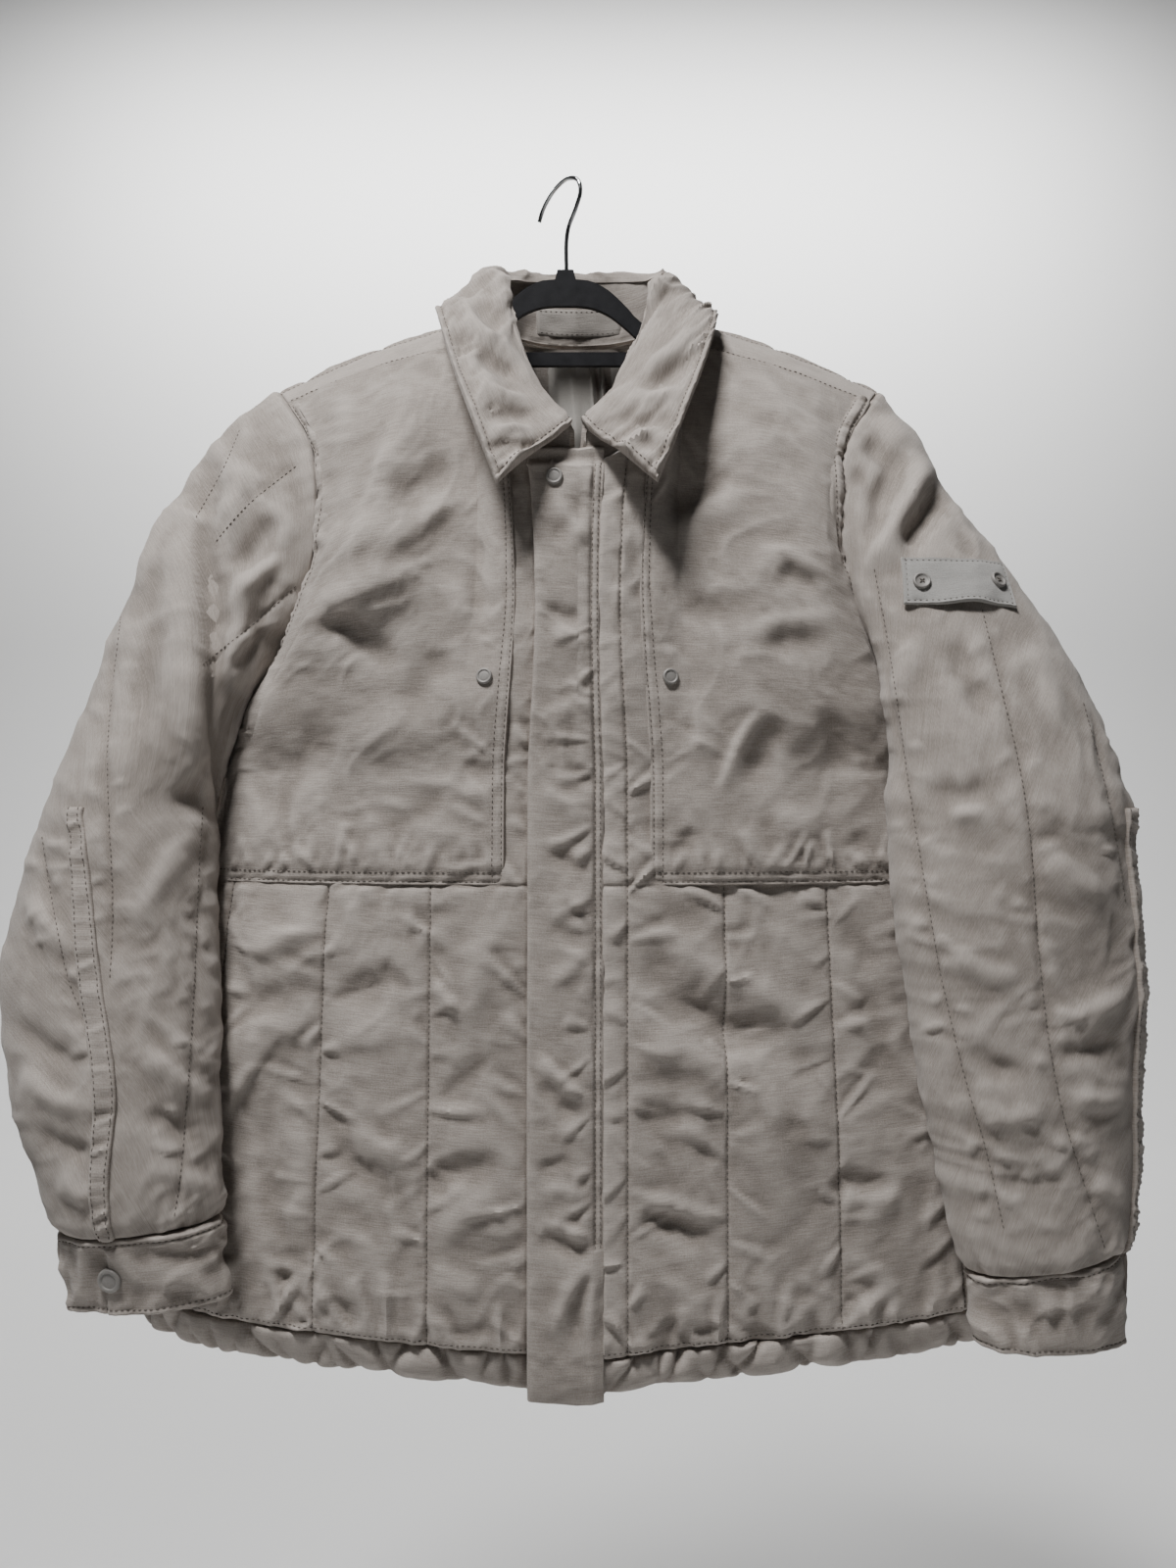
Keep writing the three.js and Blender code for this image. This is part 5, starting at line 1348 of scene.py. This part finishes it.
CUFF_LINES = {
    "right": [
        (-1.6, 7, [(128, 1290), (160, 1278), (200, 1284)]),
        (1.4, 7, [(140, 1262), (176, 1264), (224, 1258)]),
        (1.4, 7, [(150, 1310), (190, 1304), (226, 1312)]),
    ],
    "left": [
        (2.0, 8, [(1010, 1312), (1050, 1322), (1090, 1312)]),
        (-1.8, 7, [(1004, 1336), (1046, 1346), (1090, 1340)]),
        (1.8, 7, [(1096, 1300), (1118, 1318), (1136, 1346)]),
        (-1.6, 6, [(1070, 1300), (1080, 1336), (1076, 1366)]),
    ],
}


def cuff(label, side):
    """The band at the end of a sleeve."""
    rows = np.interp(spread(0, 53, 1.8, (), 0.7, 2.5), [0, 53], [0, 1])
    ks = np.linspace(0, RING, 10 * RING + 1)[:-1]
    table = catmull(SLEEVES[label]["cuff"], rows)
    points = np.array([sleeve_ring(row, side, ks) for row in table])
    sheet = Sheet(points, np.broadcast_to(points.mean(1, keepdims=True), points.shape), around=True)
    sheet.crumple(760 + side, broad=1.4, middle=2.1, fine=0.35)
    sheet.lift += 1.2
    sewn(sheet, level(sheet, CUFF_INSET), seed=770 + side, depth=0.9, puff=0.6, height=1.1,
         spacing=8, reach=14)
    sewn(sheet, level(sheet, sheet.height[0] - CUFF_INSET), seed=780 + side, depth=0.9, puff=0.5,
         height=0.9, spacing=8, reach=12)
    if label == "right":
        edge = drawn(sheet, [(110, 1240), (109, 1290), (108, 1345)], 60)
        raise_by(sheet, edge, -2.2 * smooth(np.where(edge.side > 0, edge.gap, 0) / 1.6))
    fold_all(sheet, CUFF_LINES[label])
    sheet.rim(bottom=3.2, top=3.2)
    return make(f"cuff_{label}", sheet, 4.0)


cuffs = {label: cuff(label, side) for label, side in SIDES.items()}

# Collar, lining and label.
COLLAR_FOLD = [
    [0, 29, -64], [30, 27, -64], [56, 14, -68], [66, -8, -75],
    [58, -24, -99], [45, -44, -139], [27, -66, -181], [2.5, -84, -213],
]
COLLAR_EDGE = [
    [0, 61, -124], [38, 59, -122], [78, 45, -116], [98, 12, -104],
    [101, -36, -123], [89, -72, -166], [72, -98, -214], [54, -112, -260],
]
NECK_STEPS = np.array([0, 18, 34, 50, 66, 84]) / 84


def mirrored_curve(points, t):
    return flipped(catmull(points, np.abs(t)), sign_of(t))


collar_t = signed(np.linspace(0, 1, 150))
collar_foot = np.concatenate([
    catmull(BACK_NECKLINE, NECK_STEPS), catmull(FRONT_NECKLINE, NECK_STEPS[::-1]),
]) + [0, 0, 1.2]
foot_row = mirrored_curve(collar_foot, collar_t)
foot_row[0], foot_row[-1] = [-1, *foot_row[0][1:]], [1, *foot_row[-1][1:]]
fold_row = mirrored_curve(COLLAR_FOLD, collar_t)
edge_row = mirrored_curve(COLLAR_EDGE, collar_t)


def towards_neck(row):
    return unit(np.stack([-row[..., 0], -18 - row[..., 1], np.zeros(row.shape[:-1])], -1))


def collar_stand():
    """The collar's upright part, from the neckline to the fold."""
    rise = spread(0, 1, 0.06, (), 0.03, 0.08)
    points = lerp(foot_row[None], fold_row[None], rise[:, None, None])
    inner = Sheet(points + towards_neck(points) * 4, points)
    inner.crumple(800, broad=0.7, middle=0.5, fine=0.2)
    sewn(inner, level(inner, 3.0), seed=805, depth=0.5, puff=0.3, height=0.7, spacing=8, reach=10)
    inner.rim(bottom=1.5, top=2.0, start=1.5, end=1.5)
    return make("collar_stand", inner, 3.8)


COLLAR_LINES = [
    (-2.6, 9, [(462, 334), (472, 352), (484, 362)]),
    (2.6, 7, [(470, 300), (490, 340), (530, 372)], 0.3),
    (-2.2, 7, [(480, 352), (506, 372), (534, 386)]),
    (2.0, 6, [(486, 390), (512, 404), (546, 410)], 0.2),
    (-2.0, 6, [(482, 420), (514, 424), (556, 420)]),
    (2.4, 6, [(508, 482), (524, 468), (550, 460)], 0.3),
    (1.8, 6, [(500, 446), (520, 440), (548, 440)], 0.2),
    (-1.6, 5, [(496, 462), (512, 456), (530, 452)]),
    (2.6, 6, [(500, 278), (514, 298), (520, 322)], 0.3),
    (-2.4, 5, [(512, 290), (524, 306), (528, 330)]),
    (2.2, 6, [(538, 284), (524, 292), (508, 286)]),
    (2.6, 7, [(716, 330), (690, 362), (650, 384)], 0.3),
    (-2.2, 7, [(708, 352), (684, 380), (650, 398)]),
    (2.0, 6, [(700, 396), (670, 406), (630, 410)], 0.2),
    (-2.0, 6, [(694, 420), (664, 430), (626, 424)]),
    (2.4, 6, [(676, 484), (654, 466), (624, 456)], 0.3),
    (1.8, 6, [(688, 448), (668, 446), (640, 440)], 0.2),
    (2.6, 6, [(684, 280), (668, 300), (660, 322)], 0.3),
    (-2.4, 5, [(672, 292), (658, 306), (650, 330)]),
]


def collar_leaf():
    """The collar's outer part, rolled over the fold and lying on the shoulders."""
    step = np.linspace(0, 1, 44)
    outward = unit(np.stack([fold_row[:, 0], fold_row[:, 1] + 18, np.full(len(fold_row), 30.0)], -1))
    rise = 3 * np.sin(np.pi * step**0.6)
    under = lerp(fold_row[None], edge_row[None], step[:, None, None])
    under = under + outward[None] * rise[:, None, None] + [0, 0, 1.3]
    probe = Sheet(under, under * np.array([0.7, 0.6, 1]) + np.array([0, 0, -60]))
    over = under + probe.normals * 4
    inwards = towards_neck(fold_row)
    roll = [
        fold_row + inwards * 5.2 + [0, 0, -3.0], fold_row + inwards * 5.0 + [0, 0, 2.2],
        fold_row + inwards * 3.2 + [0, 0, 5.6], fold_row + [0, 0, 6.2],
    ]
    start = 3
    keys = np.concatenate([roll, over[start:]])
    reach = np.concatenate([[0], np.cumsum(np.linalg.norm(np.diff(keys, axis=0), axis=-1).mean(1))])
    places = spread(0, reach[-1], 1.8, (6.0,), 0.7, 2.5)
    index = np.interp(places, reach, np.arange(len(keys)))
    points = catmull(keys.reshape(len(keys), -1), index / (len(keys) - 1)).reshape(len(index), -1, 3)
    sheet = Sheet(points, points * np.array([0.7, 0.6, 1]) + np.array([0, 0, -60]))
    fold_all(sheet, COLLAR_LINES, taller=2.0, wider=0.85)
    calm = smooth(sheet.v / 8)
    sheet.crumple(820, broad=1.6, middle=2.1, fine=0.35, mask=calm)
    edges = [level(sheet, sheet.height[0] - LEAF_INSET), upright(sheet, LEAF_INSET),
             upright(sheet, sheet.width[:, 0] - LEAF_INSET)]
    for n, line in enumerate(edges):
        sewn(sheet, line, seed=830 + 10 * n, depth=0.9, puff=0.5, soft=3, height=1.3, spacing=6, reach=8)
    near_edge = sheet.height.mean() - 5
    spots = [(place, near_edge, -UP) for place in places_along(sheet.width.max(), 13, 1300)]
    tucks(sheet, spots, 1301, 1.6, 24, 2.4)
    sheet.rim(top=1.6, start=1.6, end=1.6)
    return make("collar_leaf", sheet, 3.4)


stand_sheet = collar_stand()
leaf_sheet = collar_leaf()


def back_lining():
    """The lining inside the back, pleated, as far as the neck shows it."""
    f = signed(np.linspace(0, 101 / CHEST, 130))
    rise = np.linspace(4 / 9, 0.975, 70)
    v, g = np.meshgrid(5 + rise, f, indexing="ij")
    points = panel_point(v, np.abs(g), "back", sign_of(g))
    normals = grid_normals(points, inside_body(points), False)
    points = points - normals * 5.6
    sheet = Sheet(points, points + normals * 30)
    fall = sheet.v / sheet.height
    drift = sheet.u + 5 * noise2(sheet.u / 30, sheet.v / 60, 860) * (1 - fall)
    pleats = 1 - 1.9 * np.abs(noise1(drift / 7.5, 861))
    sheet.lift += (0.6 + 0.9 * fall) * 2.6 * pleats + 1.2 * noise2(sheet.u / 28, sheet.v / 60, 862)
    sheet.rim(bottom=1.0, top=1.5, start=1.0, end=1.0)
    return make("back_lining", sheet, 0.8, material=LINING)


def neck_label():
    """The bare label on the stand."""
    index = np.linspace(-2 / 11, 2 / 11, 44)
    rise = np.linspace(0.15, 0.55, 18)
    foot, fold_at = mirrored_curve(collar_foot, index), mirrored_curve(COLLAR_FOLD, index)
    points = lerp(foot[None], fold_at[None], rise[:, None, None])
    inward = towards_neck(points)
    points = points + inward * 5.6
    sheet = Sheet(points, points - inward * 20)
    sheet.lift += 0.5 * noise2(sheet.u / 14, sheet.v / 9, 870) + 0.25
    for n, at in enumerate((LABEL_INSET, sheet.height[0] - LABEL_INSET)):
        sewn(sheet, level(sheet, at), seed=872 + 2 * n, depth=0.35, puff=0.0, height=0.2,
             spacing=4, reach=3)
    sheet.rim(bottom=0.8, top=0.8, start=0.8, end=0.8)
    return make("neck_label", sheet, 0.8, material=TAPE, every=3)


lining_sheet = back_lining()
label_sheet = neck_label()


# Tab, snaps and buttons.
def hit(name, x, z, direction=1):
    """Where a piece is met along y, and its normal there."""
    found = trees[name].ray_cast(Vector((x, -500 * direction, z)), Vector((0, direction, 0)))
    return np.array(found[0]), np.array(found[1])


TAB_X, TAB_Z = (224, 302), (-338, -302)
TAB_BUTTONS = (13, 67)  # along it, where it is held down


def tab():
    """The bare tab on the left sleeve, held by two buttons and standing off between them."""
    (left, right), (foot, top), middle = TAB_X, TAB_Z, sum(TAB_X) / 2 - 1
    xs, zs = spread(left, right, 1.5, (), 0.7, 2), spread(foot, top, 1.5, (), 0.7, 2)
    base = np.array([[hit("sleeve_left", x, z)[0] for x in xs] for z in zs])
    base = blurred_points(base, 3)
    flat = np.ones(base.shape[:2])
    outward = unit(np.stack([flat * (xs - middle) / 90, -flat, 0.15 * flat], -1))
    down = (1 - (zs - zs[0]) / (zs[-1] - zs[0]))[:, None]
    along = (xs - xs[0])[None, :]
    loose = 1 - sum(np.exp(-(((along - button) / 10) ** 2)) for button in TAB_BUTTONS)
    base = base + outward * (2.8 + 3.2 * down**2 * np.maximum(loose, 0))[..., None]
    base[..., 2] -= (1.6 * np.sin(along / 9.5) * down**2 * np.maximum(loose, 0.2))
    sheet = Sheet(base, base - outward * 20)
    sheet.crumple(880, broad=0.3, middle=0.25, fine=0.15)
    edges = [level(sheet, TAB_INSET), level(sheet, sheet.height[0] - TAB_INSET),
             upright(sheet, TAB_INSET), upright(sheet, sheet.width[:, 0] - TAB_INSET)]
    for n, line in enumerate(edges):
        sewn(sheet, line, seed=882 + 2 * n, depth=0.4, puff=0.1, height=0.25, spacing=5, reach=4)
    sheet.rim(bottom=0.9, top=0.9, start=0.9, end=0.9)
    return make("sleeve_tab", sheet, 1.8, material=TAB, every=3)


tab_sheet = tab()


def turned(name, centre, normal, profile, count=48):
    """A disc turned from a profile of (radius, height), seated at a point of the cloth."""
    side = unit(np.cross(normal, [0, 0, 1.0]))
    up = np.cross(side, normal)
    angle = np.linspace(0, 2 * np.pi, count + 1)[:-1]
    spokes = np.cos(angle)[:, None] * side + np.sin(angle)[:, None] * up
    rings = [centre + spokes * r + normal * h for r, h in profile]
    ends = [centre + normal * profile[end][1] for end in (0, -1)]
    corners = np.concatenate([*rings, ends])
    low, high, last = len(corners) - 2, len(corners) - 1, (len(profile) - 1) * count
    steps = [(i, (i + 1) % count) for i in range(count)]
    faces = [[j + i, j + k, j + count + k, j + count + i]
             for j in range(0, last, count) for i, k in steps]
    for i, k in steps:
        faces += [[low, k, i], [high, last + i, last + k]]
    a, b, c = corners[faces[0][:3]]
    outward = a - centre
    if np.dot(np.cross(b - a, c - b), outward - normal * np.dot(outward, normal)) < 0:
        faces = [face[::-1] for face in faces]
    finish_piece(new_mesh(f"{name}_disc", corners, faces, SNAP, sharp=40), [name])


SNAP_PROFILE = [  # from the seat to the middle: radius and height, in shares of the disc's own
    (0.9, -1.2), (1.0, 0.1), (1.0, 0.45), (0.97, 0.75), (0.9, 0.95), (0.82, 1.0), (0.72, 0.96),
    (0.66, 0.8), (0.63, 0.7), (0.6, 0.72), (0.3, 0.78),
]
BUTTON_PROFILE = [
    (0.9, -0.8), (1.0, 0.2), (1.0, 0.7), (0.95, 0.95), (0.86, 1.05), (0.76, 0.98), (0.68, 0.72),
    (0.6, 0.62), (0.3, 0.6),
]
DISCS = [  # name, the piece it sits on, x, z, radius, height, profile, the way to look at it along y
    ("snap_neck", "fly", -16, -248, 6, 2.2, SNAP_PROFILE, 1),
    ("snap_chest_right", "chest_panel_right", -64, -386, 5.7, 2.2, SNAP_PROFILE, 1),
    ("snap_chest_left", "chest_panel_left", 64, -386, 5.7, 2.2, SNAP_PROFILE, 1),
    ("snap_cuff_right", "cuff_right", -305, -784, 8.2, 2.8, SNAP_PROFILE, 1),
    ("snap_cuff_left", "cuff_left", 325, -812, 8.2, 2.8, SNAP_PROFILE, -1),
    ("tab_button_inner", "sleeve_tab", 236, -321, 6, 2.4, BUTTON_PROFILE, 1),
    ("tab_button_outer", "sleeve_tab", 291, -319, 6, 2.4, BUTTON_PROFILE, 1),
]


def placed(name, on, x, z, radius, height, profile, direction):
    """Seats a disc on the cloth, square to it as it runs a little way round."""
    near = [hit(on, x + dx, z + dz, direction) for dx, dz in ((-4, 0), (4, 0), (0, -4), (0, 4), (0, 0))]
    point, normal = (np.mean(found, 0) for found in zip(*near))
    normal = unit(normal)
    if normal[1] * direction > 0:
        normal = -normal
    turned(name, point, normal, [(r * radius, h * height) for r, h in profile])
    return point, normal


seats = {disc[0]: placed(*disc) for disc in DISCS}


# Rows of stitches.
def spindles(name, runs, radius=0.42, length=2.7):
    """Short sunk threads, one for each stitch, from runs of points and normals."""
    corners, faces = [], []
    for points, normals in runs:
        if len(points) < 2:
            continue
        along = unit(np.gradient(points, axis=0))
        normals = unit(normals - along * np.sum(normals * along, -1, keepdims=True))
        side = np.cross(along, normals)
        centre = points + normals * 0.12
        for p, t, n, s in zip(centre, along, normals, side):
            base = len(corners)
            corners.append(p - t * length / 2 - n * 0.35)
            for place in (-0.26, 0.26):
                for turn in range(4):
                    angle = np.pi / 2 * turn + np.pi / 4
                    spoke = s * np.cos(angle) + n * np.sin(angle)
                    corners.append(p + t * place * length + spoke * radius)
            corners.append(p + t * length / 2 - n * 0.35)
            for turn in range(4):
                a, b = base + 1 + turn, base + 1 + (turn + 1) % 4
                faces.append([base, a, b])
                faces.append([a, a + 4, b + 4, b])
                faces.append([base + 9, b + 4, a + 4])
    corners = np.array(corners)
    f = faces[1]
    n = np.cross(corners[f[1]] - corners[f[0]], corners[f[2]] - corners[f[1]])
    middle = corners[[1, 2, 3, 4]].mean(0)
    if np.dot(n, corners[f[0]] - middle) < 0:
        faces = [face[::-1] for face in faces]
    finish_piece(new_mesh(name, corners, faces, THREAD_DARK_AS_HOLE_SHADE, sharp=80), ())


NO_RUN = np.zeros((0, 3)), np.zeros((0, 3))
LARGEST_STEP = 40.0


def evenly(points, normals, pitch=4.0):
    """One place for each stitch along a run."""
    length = lengths(points)
    places = np.arange(pitch / 2, length[-1], pitch)
    return tuple(np.stack([np.interp(places, length, rows[:, axis]) for axis in range(3)], -1)
                 for rows in (points, normals))


def up_run(sheet, at, first=0.0, last=1.0):
    """Stitches up a sheet, at a place across it: one number, or one for each row."""
    at = np.broadcast_to(at, sheet.u.shape[0])
    rows = np.arange(len(at))
    rows = rows[int(first * (len(rows) - 1)): int(last * (len(rows) - 1)) + 1]
    columns = np.array([np.interp(at[j], sheet.u[j], np.arange(sheet.u.shape[1])) for j in rows])
    normals = sheet.normals[rows, np.clip(np.round(columns).astype(int), 0, sheet.u.shape[1] - 1)]
    return evenly(sheet.at(rows.astype(float), columns), normals)


def across_run(sheet, at, first=0.0, last=1.0):
    """Stitches across a sheet, at a height over its foot: one number, or one for each column."""
    at = np.broadcast_to(at, sheet.v.shape[1])
    columns = np.arange(len(at))
    columns = columns[int(first * (len(columns) - 1)): int(last * (len(columns) - 1)) + 1]
    rows = np.array([np.interp(at[i], sheet.v[:, i], np.arange(sheet.v.shape[0])) for i in columns])
    normals = sheet.normals[np.clip(np.round(rows).astype(int), 0, sheet.v.shape[0] - 1), columns]
    return evenly(sheet.at(rows, columns.astype(float)), normals)


def foot_and_top(sheet, inset, first=0.0, last=1.0):
    return [across_run(sheet, at, first, last) for at in (inset, sheet.height[0] - inset)]


def both_sides(sheet, inset, first=0.0, last=1.0):
    return [up_run(sheet, at, first, last) for at in (inset, sheet.width[:, 0] - inset)]


def seen_run(name, path):
    """Stitches on a piece, where the camera sees it along a drawn line."""
    curve = catmull(path, np.linspace(0, 1, 16 * (len(path) - 1) + 1))
    points, normals = [], []
    for px, py in curve:
        direction = Vector(((px - MIDDLE_X) / FOCAL, 1, (MIDDLE_Y - py) / FOCAL)).normalized()
        place, normal, *_ = trees[name].ray_cast(Vector(EYE), direction)
        if place is not None:
            points.append(np.array(place))
            normals.append(np.array(normal) * (1 if np.dot(normal, EYE - points[-1]) > 0 else -1))
    if len(points) < 3:
        return NO_RUN
    points = np.array(points)
    jump = np.linalg.norm(np.diff(points, axis=0), axis=1)
    if jump.max() > LARGEST_STEP:  # the line left the piece and met it again further back
        cut = int(np.argmax(jump > LARGEST_STEP))
        points, normals = points[: cut + 1], normals[: cut + 1]
    return evenly(points, np.array(normals)) if len(points) > 2 else NO_RUN


def body_stitches():
    runs = []
    for label, sheet in fronts.items():
        top = np.searchsorted(front_rows, CHEST_SEAM - 0.01) / (len(front_rows) - 1)
        for width in QUILT:
            last = 0.96 if width == QUILT[0] and label == "left" else top
            runs.append(up_run(sheet, column_at(sheet, front_cols, width), 0.01, last))
        runs.append(across_run(sheet, SEAM_INSET, 0.02, 0.99))
        runs += [up_run(sheet, sheet.width[:, 0] - inset, 0.64, 0.985) for inset in ARMHOLE_INSETS]
    spindles("front_stitches", runs)
    runs = []
    for sheet in panels.values():
        for inset in PANEL_INSETS:
            runs += [up_run(sheet, inset, 0.01, 0.97), across_run(sheet, inset, 0.01, 0.99)]
    spindles("panel_stitches", runs, 0.38)
    foot = np.searchsorted(fly_sheet.points[:, 0, 2], FLY_STITCHED_FROM) / (len(fly_sheet.points) - 1)
    seam = fly_sheet.width[:, 0] * (FLY_SEAM - FLY_FROM) / (FLY_TO - FLY_FROM)
    spindles("fly_stitches", [up_run(fly_sheet, seam + apart, foot, 0.985) for apart in (0, 3.6)], 0.38)
    fractions = signed(arc_columns(3.2, QUILT))
    runs = [up_run(back, column_at(back, fractions, width * side), 0.01, 0.99)
            for width in QUILT for side in SIDES.values()]
    runs.append(across_run(back, SEAM_INSET, 0.01, 0.99))
    spindles("back_stitches", runs)


def sleeve_stitches():
    for label, sheet in sleeves.items():
        runs = [seen_run(f"sleeve_{label}", path) for path in SLEEVE_LINES[label]["quilts"]]
        for k in REAR_QUILTS:
            at = np.array([np.interp(k, sheet.ks, row) for row in sheet.u])
            runs.append(up_run(sheet, at, 0.12, 0.99))
        runs += both_sides(sleeve_strips[label], STRIP_INSET) + foot_and_top(cuffs[label], CUFF_INSET)
        spindles(f"sleeve_{label}_stitches", runs)


def small_stitches():
    low = int(0.12 * len(leaf_sheet.u)) / len(leaf_sheet.u)
    runs = [across_run(leaf_sheet, leaf_sheet.height[0] - LEAF_INSET, 0.015, 0.985)]
    spindles("collar_stitches", runs + both_sides(leaf_sheet, LEAF_INSET, low, 0.96))
    runs = [run for strip in strips.values() for run in foot_and_top(strip, SHOULDER_INSET, 0.02, 0.98)]
    spindles("shoulder_stitches", runs)
    runs = foot_and_top(tab_sheet, TAB_INSET, 0.04, 0.96) + both_sides(tab_sheet, TAB_INSET, 0.05, 0.95)
    spindles("tab_stitches", runs + foot_and_top(label_sheet, LABEL_INSET, 0.04, 0.96), 0.26, 2.0)


def button_threads():
    runs = []
    for point, normal in (seats["tab_button_inner"], seats["tab_button_outer"]):
        side = unit(np.cross(normal, [0, 0, 1.0]))
        up = np.cross(side, normal)
        for turn in (np.pi / 4, -np.pi / 4):
            direction = side * np.cos(turn) + up * np.sin(turn)
            centre = point + normal * 1.7
            ends = np.array([centre - direction * 1.2, centre + direction * 1.2])
            runs.append((ends, np.array([normal, normal])))
    spindles("button_threads", runs, 0.45, 2.6)


body_stitches()
sleeve_stitches()
small_stitches()
button_threads()

# The hanger keeps its solids.
for node, material, width in (("hanger", PLASTIC, 0.0011), ("hanger_hook", WIRE, 0.0)):
    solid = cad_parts[node]
    solid.data.materials.clear()
    solid.data.materials.append(material)
    if width:
        bevel = solid.modifiers.new("rounded", "BEVEL")
        bevel.width, bevel.segments, bevel.limit_method = width, 3, "ANGLE"
    else:
        shade_smooth(solid.data)

# Camera, stage and light.
camera = linked("camera", bpy.data.cameras.new("camera"))
camera.data.sensor_width = 36  # along the picture's longer side
camera.data.lens = FOCAL / max(PICTURE) * camera.data.sensor_width
camera.location = (EYE + SHIFT) / 1000
camera.rotation_euler = (np.pi / 2, 0, 0)
bpy.context.scene.camera = camera


def stage():
    """A pale floor that sweeps up into a far wall."""
    near, far, floor, top, radius, half_width = -5.0, 2.2, -1.5, 4.5, 1.6, 7
    profile = [(near, floor), (far, floor)]
    for angle in np.linspace(0.1, np.pi / 2, 16):
        profile.append((far + radius * np.sin(angle), floor + radius * (1 - np.cos(angle))))
    profile.append((far + radius, top))
    corners = [(x, y, z) for y, z in profile for x in (-half_width, half_width)]
    faces = [[2 * j, 2 * j + 1, 2 * j + 3, 2 * j + 2] for j in range(len(profile) - 1)]
    mesh = bpy.data.meshes.new("stage")
    mesh.from_pydata(corners, [], faces)
    shade_smooth(mesh)
    graph = Graph("stage_paint")
    graph.paint(Base_Color=(0.74, 0.74, 0.735, 1), Roughness=0.9)
    mesh.materials.append(graph.material)
    linked("stage", mesh)


stage()


def area_light(name, place, target, size, power):
    data = bpy.data.lights.new(name, "AREA")
    data.shape, data.size, data.size_y = "RECTANGLE", *size
    data.energy = power
    light = linked(name, data)
    light.location = place
    light.rotation_euler = (Vector(target) - Vector(place)).to_track_quat("-Z", "Y").to_euler()


area_light("key", (-0.55, -0.92, 1.55), (-0.05, -0.1, -0.55), (0.6, 0.3), 78)
area_light("wall_light", (0, 2.7, 2.3), (0, 3.8, 0.4), (4.0, 0.5), 190)
world = bpy.data.worlds.new("room")
world.use_nodes = True
world.node_tree.nodes["Background"].inputs[0].default_value = (0.93, 0.95, 1.0, 1)
world.node_tree.nodes["Background"].inputs[1].default_value = 0.02
bpy.context.scene.world = world

bpy.context.view_layer.update()
